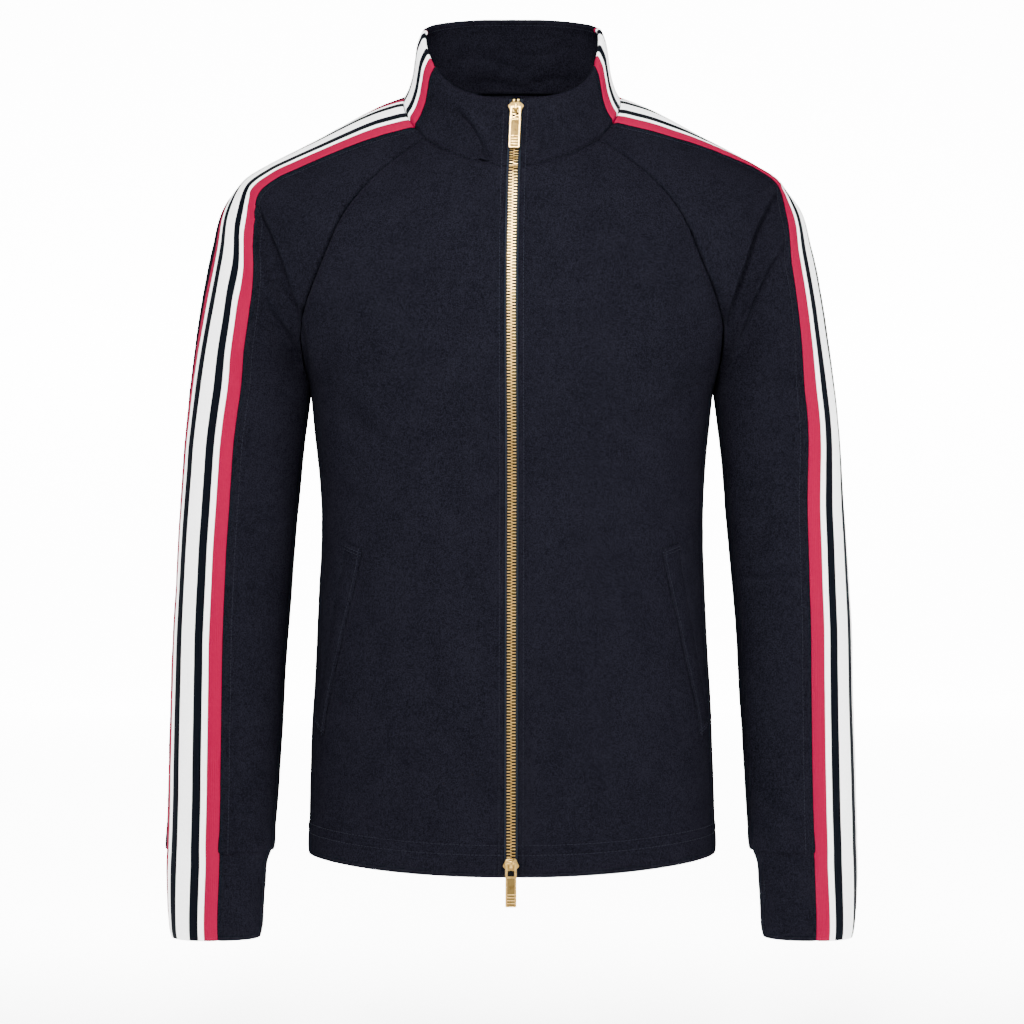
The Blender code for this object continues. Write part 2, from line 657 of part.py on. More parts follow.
class ZipLine:
    """The middle of the zip, from the collar's top edge to the hem, on the cloth's outer face."""

    def __init__(self, collar_edge, front_edge):
        line = np.vstack([collar_edge[::-1], front_edge[1:]])
        line[:, 0] = zip_middle(line[:, 2])
        self.line = line
        self.length = lengths_along(line)[-1]

    def frame(self, start, end):
        """The axes of a straight piece lying between two distances: across, up along the zip, outwards."""
        low, high = at_lengths(self.line, [max(start, end), min(start, end)])
        up = (high - low) / np.linalg.norm(high - low)
        out = np.cross([1, 0, 0], up)
        out /= np.linalg.norm(out)
        return np.array([1, 0, 0]), up, out

    def strip(self, start, end, inner, outer, depth, side):
        """A grid of two columns along the zip, at two distances from its middle and one depth."""
        distances = np.linspace(start, end, ZIP_ROWS)
        middle = at_lengths(self.line, distances)
        run = np.gradient(middle, axis=0)
        out = np.cross(run, [1, 0, 0])
        out /= np.linalg.norm(out, axis=1, keepdims=True)
        sunk = middle + out * depth
        across = np.array([side, 0, 0])
        return np.stack([sunk + across * inner, sunk + across * outer], axis=1), out


def add_strip(name, line, span, across, depth, thickness, side, finish):
    """A straight-edged strip along the zip as a closed wall."""
    points, out = line.strip(*span, *across, depth, side)
    panel = Panel(name, points, points - out[:, None], thickness, finish)
    panel.normals[:] = out[:, None]
    return add_wall(panel)


def prism(rings):
    """Points and faces of a closed solid through rings of equally many points."""
    count = len(rings[0])
    points = [point for ring in rings for point in ring]
    faces = [list(range(count)), list(range(len(points) - count, len(points)))]
    for level in range(len(rings) - 1):
        for k in range(count):
            a, b = level * count + k, level * count + (k + 1) % count
            faces.append([a, b, b + count, a + count])
    return points, faces


def slider_rings(turn):
    """The slider's body as H-shaped rings: two plates joined by a post that runs between the tapes."""
    rings = []
    for level, front, back in zip(SLIDER["along"], SLIDER["front"], SLIDER["back"]):
        half = (
            (front, FRONT_PLATE[1]), (front, FRONT_PLATE[0]), (SLIDER_POST, FRONT_PLATE[0]),
            (SLIDER_POST, BACK_PLATE[1]), (back, BACK_PLATE[1]), (back, BACK_PLATE[0]),
        )
        outline = half + tuple((-across, out) for across, out in reversed(half))
        rings.append([(across, turn * level, out) for across, out in outline])
    return rings


def tab_outline():
    """The pull tab's outer edge and its window, each as points across and along, from the pivot down."""
    half = TAB_THICKNESS / 2
    foot = half - TAB_LENGTH
    outer = (
        (TAB_SHOULDER, half), (TAB_HALF_WIDTH, half - TAB_CORNER), (TAB_HALF_WIDTH, foot + TAB_CORNER),
        (TAB_HALF_WIDTH - TAB_CORNER, foot), (TAB_CORNER - TAB_HALF_WIDTH, foot),
        (-TAB_HALF_WIDTH, foot + TAB_CORNER), (-TAB_HALF_WIDTH, half - TAB_CORNER), (-TAB_SHOULDER, half),
    )
    low = -half - WINDOW_LENGTH
    side, corner = WINDOW_HALF_WIDTH, WINDOW_CORNER
    window = (
        (side - corner, -half), (side, -half - corner), (side, low + corner), (side - corner, low),
        (corner - side, low), (-side, low + corner), (-side, -half - corner), (corner - side, -half),
    )
    return outer, window


class Slider:
    """One slider with its crown and pull tab, placed in its own frame on the zip."""

    def __init__(self, name, line, distance, turn, lean):
        self.name, self.turn, self.lean = name, turn, math.radians(lean)
        self.place = at_lengths(line.line, [distance])[0]
        self.axes = np.array(line.frame(distance - SLIDER_LENGTH / 2, distance + SLIDER_LENGTH / 2))

    def world(self, points):
        """Points of the slider's frame in the jacket's."""
        return self.place + np.array(points) @ self.axes

    def build(self):
        """Makes the body, the crown and the tab as objects."""
        points, faces = prism(slider_rings(self.turn))
        add_object(f"{self.name}_slider", self.world(points), faces, GOLD)
        rings = [[(x, y, out) for y, out in CROWN_PROFILE] for x in (-CROWN_HALF_WIDTH, CROWN_HALF_WIDTH)]
        points, faces = prism(rings)
        add_object(f"{self.name}_slider_crown", self.world(points), faces, GOLD)
        self.build_tab()

    def build_tab(self):
        """The pull tab, with its origin on the pivot."""
        outer, window = tab_outline()
        half = TAB_THICKNESS / 2
        count = len(outer)
        points = [(x, y, out) for out in (-half, half) for ring in (outer, window) for x, y in ring]
        faces = []
        for level in (0, 2 * count):
            for k in range(count):
                a, b = level + k, level + (k + 1) % count
                faces.append([a, b, b + count, a + count])
        for ring in (0, count):
            for k in range(count):
                a, b = ring + k, ring + (k + 1) % count
                faces.append([a, b, b + 2 * count, a + 2 * count])
        across, up, out = self.axes
        rise, fall = math.cos(self.lean), math.sin(self.lean)
        turned = np.array(points) @ np.array([across, rise * up + fall * out, rise * out - fall * up])
        tab = add_object(f"{self.name}_pull_tab", turned, faces, GOLD)
        tab.location = self.world([0, 0, PIVOT_HEIGHT]) * TO_METRES


def clear_scene():
    """Removes whatever the scene holds."""
    for item in list(bpy.data.objects):
        bpy.data.objects.remove(item)


def add_zip(panels):
    """The zip between the two fronts: tapes, chain, sliders and pull tabs."""
    by_name = {panel.name: panel for panel in panels}
    collar, front = by_name["collar_front_left"], by_name["front_left"]
    line = ZipLine(collar.points[:, 0].copy(), front.points[:, -1].copy())
    top, foot = SLIDER_FROM_TOP, line.length - SLIDER_FROM_HEM
    for side, hand in ((RIGHT, "right"), (LEFT, "left")):
        whole, across = (0, line.length), (ZIP_TAPE_INNER, ZIP_HALF_OPENING)
        add_strip(f"zip_tape_{hand}", line, whole, across, ZIP_TAPE_DEPTH, ZIP_TAPE_CLOTH, side, ZIP_TAPE)
        reach = SLIDER_LENGTH / 2 + SLIDER_GAP
        chain = (CHAIN_INNER, CHAIN_OUTER)
        span = (top + reach, foot - reach)
        add_strip(f"zip_chain_{hand}", line, span, chain, CHAIN_DEPTH, CHAIN_THICKNESS, side, GOLD)
    Slider("top", line, top, 1, TOP_TAB_LEAN).build()
    Slider("bottom", line, foot, -1, 0.0).build()


def main():
    """Builds the jacket."""
    clear_scene()
    panels, collar_halves = cloth_panels()
    share_seam_normals(panels)
    by_name = {panel.name: panel for panel in panels}
    panels.append(facing_panel(collar_halves))
    for side, hand in ((RIGHT, "right"), (LEFT, "left")):
        cut_thumb_slit(by_name[f"cuff_{hand}"], side)
        panels.append(welt_panel(by_name[f"front_{hand}"], hand))
    for panel in panels:
        add_wall(panel)
    add_zip(panels)


main()
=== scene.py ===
"""Zip track jacket, dressed: sweat jersey, striped knit tape, brass zip, seams, stitches and creases.

The cloth stands as if worn, with no wearer, on the CAD model's own tables of form, drawn on finer grids.
Lengths are millimetres, and become metres when a mesh is written. The studio's are metres.
"Right" and "left" are the wearer's: the wearer's right side lies at -X. +Z is up and the front faces -Y.
"""

from __future__ import annotations

import json
import logging
import math
from collections.abc import Callable, Iterable, Sequence
from dataclasses import dataclass, field
from enum import Enum

import bmesh
import bpy
import numpy as np
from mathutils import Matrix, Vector, noise


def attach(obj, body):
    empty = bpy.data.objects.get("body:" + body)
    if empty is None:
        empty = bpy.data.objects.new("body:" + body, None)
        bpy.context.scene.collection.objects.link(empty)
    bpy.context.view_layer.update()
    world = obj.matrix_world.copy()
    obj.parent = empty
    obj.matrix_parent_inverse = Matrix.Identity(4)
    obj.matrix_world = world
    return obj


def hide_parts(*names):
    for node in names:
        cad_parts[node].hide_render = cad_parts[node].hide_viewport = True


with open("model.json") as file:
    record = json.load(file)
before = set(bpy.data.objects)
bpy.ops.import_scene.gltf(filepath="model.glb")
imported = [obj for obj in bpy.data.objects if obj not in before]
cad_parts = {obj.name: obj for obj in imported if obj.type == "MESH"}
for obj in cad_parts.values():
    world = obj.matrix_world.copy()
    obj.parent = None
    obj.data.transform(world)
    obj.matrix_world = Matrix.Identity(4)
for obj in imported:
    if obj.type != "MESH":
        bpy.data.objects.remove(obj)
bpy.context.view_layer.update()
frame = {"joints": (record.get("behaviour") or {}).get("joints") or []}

LOG = logging.getLogger("track_jacket")
TO_METRES = 0.001
JACKET, TOP_PULL, BOTTOM_PULL = "jacket", "top_pull", "bottom_pull"
Floats = np.ndarray
Point = tuple[float, float, float]
Outline = Sequence[tuple[float, float]]
Tree, Socket = bpy.types.NodeTree, bpy.types.NodeSocket
Material, Item = bpy.types.Material, bpy.types.Object


class Side(Enum):
    """The wearer's two sides, as the sign of x."""

    RIGHT = -1
    LEFT = 1

    @property
    def hand(self) -> str:
        """The side's name in node names."""
        return self.name.lower()

    @property
    def mirror(self) -> Floats:
        """What turns a point of the left side into one of this side."""
        return np.array([self.value, 1, 1])


class Face(Enum):
    """The front and the back of the jacket, as the sign of y."""

    FRONT = -1
    BACK = 1


class Edge(Enum):
    """The four edges of a panel's grid: the axis that runs across it, and which end."""

    TOP = (0, 0)
    FOOT = (0, -1)
    FIRST = (1, 0)
    LAST = (1, -1)


# ------------------------------------------------------------------ node helpers


def linear(colour: str) -> tuple[float, ...]:
    """Turns six hex digits of sRGB to linear red, green and blue, and an alpha of one."""
    channels = [int(colour[k : k + 2], 16) / 255 for k in (0, 2, 4)]
    return (*(c / 12.92 if c <= 0.04045 else ((c + 0.055) / 1.055) ** 2.4 for c in channels), 1.0)


def add_node(tree: Tree, kind: str, inputs: dict | None = None, output: int | str = 0, **settings) -> Socket:
    """Adds one node.

    Args:
        tree: the tree that takes it.
        kind: its class name.
        inputs: a socket to link, or a constant, for each input by name or number.
        output: which of its outputs is wanted.
        settings: its attributes.

    Returns:
        That output, or nothing from a node without any.
    """
    node = tree.nodes.new(kind)
    for name, value in settings.items():
        setattr(node, name, value)
    for name, value in (inputs or {}).items():
        if isinstance(value, Socket):
            tree.links.new(value, node.inputs[name])
        else:
            node.inputs[name].default_value = value
    return node.outputs[output] if node.outputs else None


def combine(tree: Tree, operation: str, first: Socket | float, second: Socket | float) -> Socket:
    """One Math node on two sockets or numbers."""
    return add_node(tree, "ShaderNodeMath", {0: first, 1: second}, operation=operation)


def blend(tree: Tree, share: Socket | float, *colours: Socket | str, **settings) -> Socket:
    """A colour between two, which are sockets or sRGB hex."""
    first, second = (linear(colour) if isinstance(colour, str) else colour for colour in colours)
    return add_node(tree, "ShaderNodeMix", {0: share, 6: first, 7: second}, 2, data_type="RGBA", **settings)


def spread(tree: Tree, value: Socket, start: float, end: float, low=0.0, high=1.0, **settings) -> Socket:
    """A value taken from start and end to low and high."""
    limits = {"Value": value, "From Min": start, "From Max": end, "To Min": low, "To Max": high}
    return add_node(tree, "ShaderNodeMapRange", limits, **settings)


def scaled(tree: Tree, source: str, sizes: Sequence[float]) -> Socket:
    """A piece's Object coordinates, or its UV in millimetres, divided by sizes in millimetres."""
    unit = TO_METRES if source == "Object" else 1.0
    scale = [1 / (size * unit) for size in sizes]
    where = add_node(tree, "ShaderNodeTexCoord", output=source)
    return add_node(tree, "ShaderNodeMapping", {"Vector": where, "Scale": scale})


def speckle(tree: Tree, source: str, sizes: Sequence[float], detail=2.0, roughness=0.5) -> Socket:
    """Noise from 0 to 1 with specks of these sizes in millimetres."""
    inputs = {"Vector": scaled(tree, source, sizes), "Scale": 1.0, "Detail": detail, "Roughness": roughness}
    return add_node(tree, "ShaderNodeTexNoise", inputs)


def bumped(tree: Tree, height: Socket, strength: float, deep_mm: float) -> Socket:
    """A normal from a height."""
    inputs = {"Strength": strength, "Distance": deep_mm * TO_METRES, "Height": height}
    return add_node(tree, "ShaderNodeBump", inputs)


# ------------------------------------------------------------------ finishes


@dataclass(frozen=True)
class Finish:
    """A real material and how it is made."""

    name: str = ""

    def surface(self, tree: Tree) -> dict:
        """The Principled shader's inputs."""
        raise NotImplementedError

    def material(self) -> Material:
        """Builds the material."""
        material = bpy.data.materials.new(self.name)
        material.use_nodes = True
        tree = material.node_tree
        tree.nodes.clear()
        shader = add_node(tree, "ShaderNodeBsdfPrincipled", self.surface(tree))
        add_node(tree, "ShaderNodeOutputMaterial", {"Surface": shader})
        return material


@dataclass(frozen=True)
class SweatJersey(Finish):
    """Cotton sweat jersey, circular knitted, dyed navy and lightly brushed.

    The brushed loops trap the light, so the face is matt, without a highlight. It is faintly heathered, in
    specks a little taller than wide, and mottled over a few centimetres. The real wales are 0.6 mm apart,
    drawn at 0.65 mm so that they show. Each grain is its size across and up, its octaves and its share.
    """

    name: str = "sweat_jersey_knitted_navy"
    shade: str = "040407"
    light: str = "131319"
    loops: tuple[float, ...] = (0.65, 0.85, 1.0, 0.72)
    heather: tuple[float, ...] = (1.5, 2.1, 0.0, 0.18)
    mottle: tuple[float, ...] = (26.0, 26.0, 3.0, 0.1)
    contrast: tuple[float, float] = (0.38, 0.62)

    def surface(self, tree: Tree) -> dict:
        """A shade that the three grains vary, and a fine relief from the loops."""
        total, relief = 0.0, None
        for wide, tall, octaves, share in (self.loops, self.heather, self.mottle):
            grain = speckle(tree, "Object", (wide, wide, tall), octaves)
            relief = relief or grain
            total = combine(tree, "ADD", total, combine(tree, "MULTIPLY", grain, share))
        colour = blend(tree, spread(tree, total, *self.contrast), self.shade, self.light)
        normal = bumped(tree, relief, 0.2, 0.2)
        return {"Base Color": colour, "Roughness": 0.95, "Specular IOR Level": 0.0, "Normal": normal}


@dataclass(frozen=True)
class StripedTape(Finish):
    """Polyester and cotton tape, rib knitted with its bands in the yarn.

    The bands run along the tape with crisp edges, and the fine ribs catch the light as faint upright lines.
    The real ribs are 0.9 mm apart, drawn at 1.6 mm. Bands are widths from the tape's front edge.
    """

    name: str = "knit_tape_striped"
    red: str = "760028"
    white: str = "ffffff"
    navy: str = "020409"
    bands: tuple[tuple[str, float], ...] = (
        ("red", 11), ("white", 5), ("navy", 8), ("white", 14), ("navy", 8), ("white", 5), ("red", 11)
    )
    rib_mm: float = 1.6
    yarn_mm: float = 3.0
    blur_mm: float = 0.25

    def banded(self, tree: Tree) -> Socket:
        """The bands' colours across the tape."""
        width = sum(wide for _, wide in self.bands)
        across = add_node(tree, "ShaderNodeSeparateXYZ", {0: scaled(tree, "UV", (width, 1, 1))}, "X")
        colour = add_node(tree, "ShaderNodeValToRGB", {"Fac": across})
        stops = colour.node.color_ramp.elements
        edge, blur = 0.0, self.blur_mm / width
        for (before, wide), (after, _) in zip(self.bands, self.bands[1:]):
            edge += wide / width
            for place, band in ((edge - blur, before), (edge + blur, after)):
                stops.new(place).color = linear(getattr(self, band))
        for stop, place, end in ((0, 0.0, 0), (len(stops) - 1, 1.0, -1)):
            stops[stop].position, stops[stop].color = place, linear(getattr(self, self.bands[end][0]))
        return colour

    def surface(self, tree: Tree) -> dict:
        """The bands, shaded by the yarn, with the ribs in relief."""
        yarn = speckle(tree, "UV", (self.rib_mm, self.yarn_mm, 1), roughness=0.6)
        shading = spread(tree, yarn, 0.0, 1.0, 0.84, 1.04)
        colour = blend(tree, 1.0, self.banded(tree), shading, blend_type="MULTIPLY")
        wave = {"Vector": scaled(tree, "UV", (self.rib_mm, 50, 1)), "Scale": 0.31, "Distortion": 0.6}
        ribs = add_node(tree, "ShaderNodeTexWave", wave, "Fac", bands_direction="X", wave_profile="SIN")
        normal = bumped(tree, combine(tree, "ADD", ribs, combine(tree, "MULTIPLY", yarn, 0.8)), 0.4, 0.3)
        return {"Base Color": colour, "Roughness": 0.85, "Specular IOR Level": 0.04, "Normal": normal}


@dataclass(frozen=True)
class WovenZipTape(Finish):
    """Polyester zip tape, woven in a fine herringbone.

    The weave gives a flat slate blue with a thread-fine glint. Over the corded edge that the teeth clasp it
    is painted nearly black, as painted shade from the teeth.
    Its real threads are 0.4 mm apart, drawn at 1 mm.
    """

    name: str = "polyester_zip_tape_woven"
    shade: str = "080b10"
    light: str = "141a24"
    # Painted shade under the teeth, and the span across the tape over which it fades out.
    cord: str = "020304"
    cord_mm: tuple[float, float] = (3.1, 4.3)
    thread_mm: float = 1.0

    def surface(self, tree: Tree) -> dict:
        """The weave, with painted shade towards the teeth."""
        weave = speckle(tree, "UV", (self.thread_mm, self.thread_mm, 1), roughness=0.6)
        across = add_node(tree, "ShaderNodeSeparateXYZ", {0: scaled(tree, "UV", (1, 1, 1))}, "X")
        woven = blend(tree, weave, self.shade, self.light)
        # Painted shade: the tape turns nearly black under the teeth, where they shade it.
        colour = blend(tree, spread(tree, across, *self.cord_mm), self.cord, woven)
        normal = bumped(tree, weave, 0.4, 0.2)
        return {"Base Color": colour, "Roughness": 0.75, "Specular IOR Level": 0.1, "Normal": normal}


@dataclass(frozen=True)
class Brass(Finish):
    """Zip brass, die cast or stamped, then plated pale gold and tumbled bright.

    The plating gives a warm pale yellow with clear highlights. The tumbling gives a softness that varies over
    a few millimetres, a little browner where fingers and the chain rub. The faces that the attribute matt
    marks are duller and darker: the slider's front plate, the tabs' sunk panels and the teeth's flanks, whose
    dark colour is painted shade for the gaps between the teeth.
    """

    name: str = "brass_plated_pale_gold"
    colour: str = "c8a45e"
    rubbed: str = "8f6c30"
    # Dark brass for the faces that matt marks: on the teeth's flanks it is painted shade for the gaps between
    # the teeth.
    recess: str = "1c140a"
    recess_roughness: float = 0.6
    roughness: tuple[float, float] = (0.3, 0.46)
    wear_mm: float = 2.5

    def surface(self, tree: Tree) -> dict:
        """Bright plating with its wear, and the duller, darker faces that matt marks, painted shade on the
        teeth's flanks.
        """
        wear = speckle(tree, "Object", (self.wear_mm,) * 3, 3.0)
        matt = add_node(tree, "ShaderNodeAttribute", output="Fac", attribute_name="matt")
        colour = blend(tree, spread(tree, wear, 0.45, 0.8), self.colour, self.rubbed)
        bright = spread(tree, wear, 0.0, 1.0, *self.roughness)
        rough = spread(tree, matt, 0.0, 1.0, bright, self.recess_roughness)
        # The matt faces darken towards the dark brass, which on the teeth's flanks is painted shade.
        return {"Base Color": blend(tree, matt, colour, self.recess), "Metallic": 1.0, "Roughness": rough}


@dataclass(frozen=True)
class SewingThread(Finish):
    """Core-spun polyester sewing thread, twisted.

    Its twist gives each stitch a faint light along its top, a shade lighter than the cloth that it lies on.
    """

    name: str = "sewing_thread_spun_navy"
    colour: str = "0a0b10"
    glint: str = "1c1e27"
    twist_mm: float = 0.6

    def surface(self, tree: Tree) -> dict:
        """A shade that the twist varies."""
        colour = blend(tree, speckle(tree, "Object", (self.twist_mm,) * 3), self.colour, self.glint)
        return {"Base Color": colour, "Roughness": 0.8, "Specular IOR Level": 0.05}


# ------------------------------------------------------------------ form, on the CAD model's own tables


def table(columns: str, *rows: Sequence[float]) -> dict[str, Floats]:
    """One array of numbers for each column, named in a spaced list."""
    return dict(zip(columns.split(), np.array(rows, float).T))


BODY = table(
    "z side front back dip", (-228.5, 172.6, 118, 111, 0), (-262, 169, 117, 108, 0.5),
    (-296, 165.6, 115, 104, 1), (-330, 163.6, 113, 101, 1.5), (-362, 163.8, 112, 99, 2),
    (-399, 165.6, 111, 98, 2.6), (-436, 167.4, 111, 99, 3.4), (-473, 169.2, 111, 100, 4.4),
    (-511, 171.4, 112, 102, 5.6), (-549, 172.8, 112, 104, 6.8), (-587, 173.8, 112, 106, 8.2),
    (-623.5, 174.4, 112, 107, 9.6),
)
YOKE = table(
    "fx fy fz rx ry rz bx by bz spread cf_y cf_z cb_y cb_z",
    (74, -55, -17, 94, 0, 21, 66, 48, 30, 58, -88, -43.7, 72, 33),
    (96, -60, -33, 120, 3, 12.5, 84, 57, 14, 62, -92.5, -56, 79, 18),
    (113, -65, -47, 145, 5, 0.5, 101, 64, -4, 66, -96.5, -70, 86, 2),
    (127, -70, -62, 168, 6, -11.5, 116, 70, -24, 71, -100.5, -85, 92, -15),
    (139, -75, -78, 190, 6, -22.5, 129, 75, -45, 76, -104, -100, 97, -33),
    (147.5, -79, -94, 210, 6, -33, 140, 79, -67, 82, -107, -115, 101.5, -52),
    (155, -81, -113, 230.5, 5, -47, 150, 80, -90, 88, -110, -131, 105, -75),
    (163, -78, -133, 246.5, 4, -69, 159, 77, -115, 95, -112.5, -148, 108, -100),
    (171.5, -70, -155, 257.5, 3, -106, 167.5, 69, -142, 106, -114.5, -167, 110, -130),
    (177.5, -54, -178, 265.5, 2, -144, 174.5, 54, -170, 122, -116.2, -187, 111, -162),
    (177, -31, -203, 272, 1, -187, 176, 31, -200, 147, -117.3, -208, 111.5, -195),
    (173, 0, -228.5, 277.2, 0, -230, 173, 0, -228.5, 180, -118, -228.5, 111, -228.5),
)
ARMPIT_ROW = len(YOKE["fx"]) - 1
ARMPIT_HALF_DEPTH = 48.0
RING = "z outer inner middle depth"
SLEEVE = table(
    RING, (-252, 279.6, 175.6, -1, 45.5), (-276, 281.6, 178.6, -2, 44), (-302, 283, 181, -3, 43),
    (-330, 284.6, 183.2, -5, 42), (-362, 286.6, 185.8, -7, 41.5), (-396, 288.4, 188.4, -9, 41),
    (-430, 290.2, 191, -12, 40.5), (-466, 291, 193, -15, 40), (-504, 291.6, 195, -18, 39.5),
    (-542, 292.2, 197.2, -21, 39), (-578, 292.7, 199.4, -24, 38.5), (-604, 293.1, 201.2, -26, 38),
    (-618, 293.3, 202.6, -27, 37),
)
CUFF = table(
    RING, (-618, 293.3, 202.6, -27, 37), (-625, 293.5, 206.6, -27.5, 34.8), (-648, 293.4, 209.6, -28, 33.6),
    (-667, 292.6, 210.8, -29, 33), (-682, 291.3, 211.6, -29.6, 32.3), (-692.5, 289.8, 212.8, -30, 31.4),
)
STRIPE_AHEAD = table(
    "section right left", (0, 51, 42.5), (1.5, 50, 37.5), (3, 47.5, 26), (4.5, 48.5, 19.5), (5.7, 51, 19.5),
    (6.4, 61, 31), (7, 75, 48), (8, 87.5, 60.5), (9, 85.5, 61), (10.5, 78, 58), (12, 73, 55), (15, 69, 58),
    (19, 69, 61), (24, 68, 60), (29, 60, 51.5),
)
COLLAR_RISE = table("height inward", (0, 0), (0.13, 0.26), (0.34, 0.5), (0.6, 0.64), (0.84, 0.78), (1, 1))
COLLAR_TOP = table(
    "angle right left", (0, 14.5, 14.5), (20, 17.5, 16.6), (36, 24.5, 21.5), (59, 45, 38), (72, 60, 55),
    (90, 79, 79), (110, 88, 88), (130, 94, 94), (160, 99.7, 99.7), (180, 100.5, 100.5),
)
COLLAR_LEAN = table(
    "seam right left", (0, 0, 0), (40, 32, 34), (66, 59.5, 62), (78, 72, 75), (111, 110, 112),
    (180, 180, 180),
)
NECK_CENTRE_Y = -5.0
COLLAR_TOP_HALF_WIDTH, COLLAR_TOP_DEPTH = 77.0, 62.0
ZIP_MIDDLE = table("z x", (-640, -0.9), (-330, -0.2), (-44, 1.2), (20, 3.8))
ZIP_HALF_OPENING = 6.5
POCKET_LINE = table(
    "z rear front", (60, 0.22, 0.34), (-228, 0.3, 0.4), (-362, 0.34, 0.43), (-436, 0.26, 0.345),
    (-511, 0.165, 0.25), (-623, 0.13, 0.21),
)
BODY_SQUARENESS = 2.35
RING_SQUARENESS = 0.88
SAMPLES = 240
# Close stations, for panels' ends, beside their seams, at the neck's seam and beside the zip's topstitching.
ENDS = (0, 2.4, 4.5)
BY_SEAM = (0, 0.7, 1.4, 2.3, 3.6, 5.5, 8.0)
BY_NECK = (0, 0.8, 1.6, 2.8, 4.6)
BY_ZIP = (0, 1.6, 2.6, 3.4, 4.2, 5.4, 7.5)
TAPE_WIDTH = 62.0
SIDES_OF_TAPE = (Edge.FIRST, Edge.LAST)


def along(at: Floats | float, xs: Floats, values: Floats) -> Floats:
    """A smooth curve through values at xs.

    Args:
        at: the places to read.
        xs: where the values lie, rising or falling.
        values: one value, or one array, for each x.

    Returns:
        The curve's value at each place.
    """
    xs, values = np.asarray(xs, float), np.asarray(values, float)
    if xs[0] > xs[-1]:
        xs, values = xs[::-1], values[::-1]
    slopes = np.gradient(values, xs, axis=0)
    at = np.clip(np.atleast_1d(np.asarray(at, float)), xs[0], xs[-1])
    cell = np.clip(np.searchsorted(xs, at, side="right") - 1, 0, len(xs) - 2)
    spare = (slice(None),) + (None,) * (values.ndim - 1)
    step = (xs[cell + 1] - xs[cell])[spare]
    share = ((at - xs[cell])[spare]) / step
    h00, h10 = 2 * share**3 - 3 * share**2 + 1, share**3 - 2 * share**2 + share
    h01, h11 = 1 - h00, share**3 - share**2
    start = h00 * values[cell] + h10 * step * slopes[cell]
    return start + h01 * values[cell + 1] + h11 * step * slopes[cell + 1]


def unit(vectors: Floats) -> Floats:
    """Vectors brought to length one."""
    return vectors / np.maximum(np.linalg.norm(vectors, axis=-1, keepdims=True), 1e-9)


def runs(points: Floats, axis: int = 0) -> Floats:
    """Each point's distance from the first, along one axis of a line or a grid."""
    steps = np.linalg.norm(np.diff(points, axis=axis), axis=-1)
    return np.concatenate([np.zeros_like(steps.take([0], axis)), np.cumsum(steps, axis)], axis)


def length_of(line: Floats) -> float:
    """A line's whole length."""
    return runs(line)[-1]


def at_lengths(line: Floats, distances: Floats) -> Floats:
    """The points of a line at the given distances from its start."""
    run = runs(line)
    return np.stack([np.interp(distances, run, line[:, k]) for k in range(line.shape[1])], axis=1)


def evenly(line: Floats, count: int) -> Floats:
    """So many points of a line, evenly spaced."""
    return at_lengths(line, np.linspace(0, length_of(line), count))


def zip_middle(z: Floats | float) -> Floats:
    """The x of the middle of the zip at a height."""
    return along(z, ZIP_MIDDLE["z"], ZIP_MIDDLE["x"])


def yoke_points(name: str) -> Floats:
    """One line of the yoke's table: the front, the ridge or the back of the shoulder."""
    return np.stack([YOKE[name + axis] for axis in "xyz"], axis=1)


def body_lines(side: Side, face: Face) -> list[Floats]:
    """The rows of half the body, from the neck to the hem.

    Args:
        side: the wearer's side.
        face: front or back.

    Returns:
        A dense line for each row of the tables, from its side to the middle.
    """
    front = face is Face.FRONT
    name, middle = ("f", "cf") if front else ("b", "cb")
    rows = []
    for k, edge in enumerate(yoke_points(name)):
        closing = k / ARMPIT_ROW
        y, z = YOKE[f"{middle}_y"][k], YOKE[f"{middle}_z"][k]
        rows.append((edge, y, z, 1 + 1.15 * closing**2.2, 2 - 0.6 * closing))
    depth, dip = (-BODY["front"], 1.0) if front else (BODY["back"], 0.5)
    for half, y, z, low in list(zip(BODY["side"], depth, BODY["z"], dip * BODY["dip"]))[1:]:
        rows.append(((half, 0.0, z), y, z - low, 2.15, 2.0))
    across = np.cos(np.linspace(0, math.pi / 2, SAMPLES))
    lines = []
    for edge, middle_y, middle_z, roundness, drop in rows:
        bulge = (1 - across**BODY_SQUARENESS) ** (1 / roundness)
        y = edge[1] + (middle_y - edge[1]) * bulge
        z = edge[2] + (middle_z - edge[2]) * (1 - across**drop)
        lines.append(np.stack([side.value * edge[0] * across, y, z], axis=1))
    return lines


def front_lines(side: Side) -> list[Floats]:
    """The rows of a front panel, from its side to the zip."""
    lines = []
    for line in body_lines(side, Face.FRONT):
        edge_x = zip_middle(line[-1, 2])[0] + side.value * ZIP_HALF_OPENING
        keep = side.value * line[:, 0] > side.value * edge_x
        lines.append(np.vstack([line[keep], [edge_x, *line[-1, 1:]]]))
    return lines


def arc_section(front: Floats, ridge: Floats, back: Floats, spread_deg: float) -> Floats:
    """A dense arc from a front point over the shoulder's ridge to a back point.

    Args:
        front: where the arc starts.
        ridge: its highest point.
        back: where it ends.
        spread_deg: the angle either side of the ridge, in degrees.

    Returns:
        The points of the arc.
    """
    angle = math.radians(spread_deg)
    share = math.cos(angle)
    centre = ((front + back) / 2 - ridge * share) / (1 - share)
    ahead = (front - back) / 2 / math.sin(angle)
    turns = np.linspace(-angle, angle, 2 * SAMPLES + 1)[:, None]
    return centre + (ridge - centre) * np.cos(turns) - ahead * np.sin(turns)


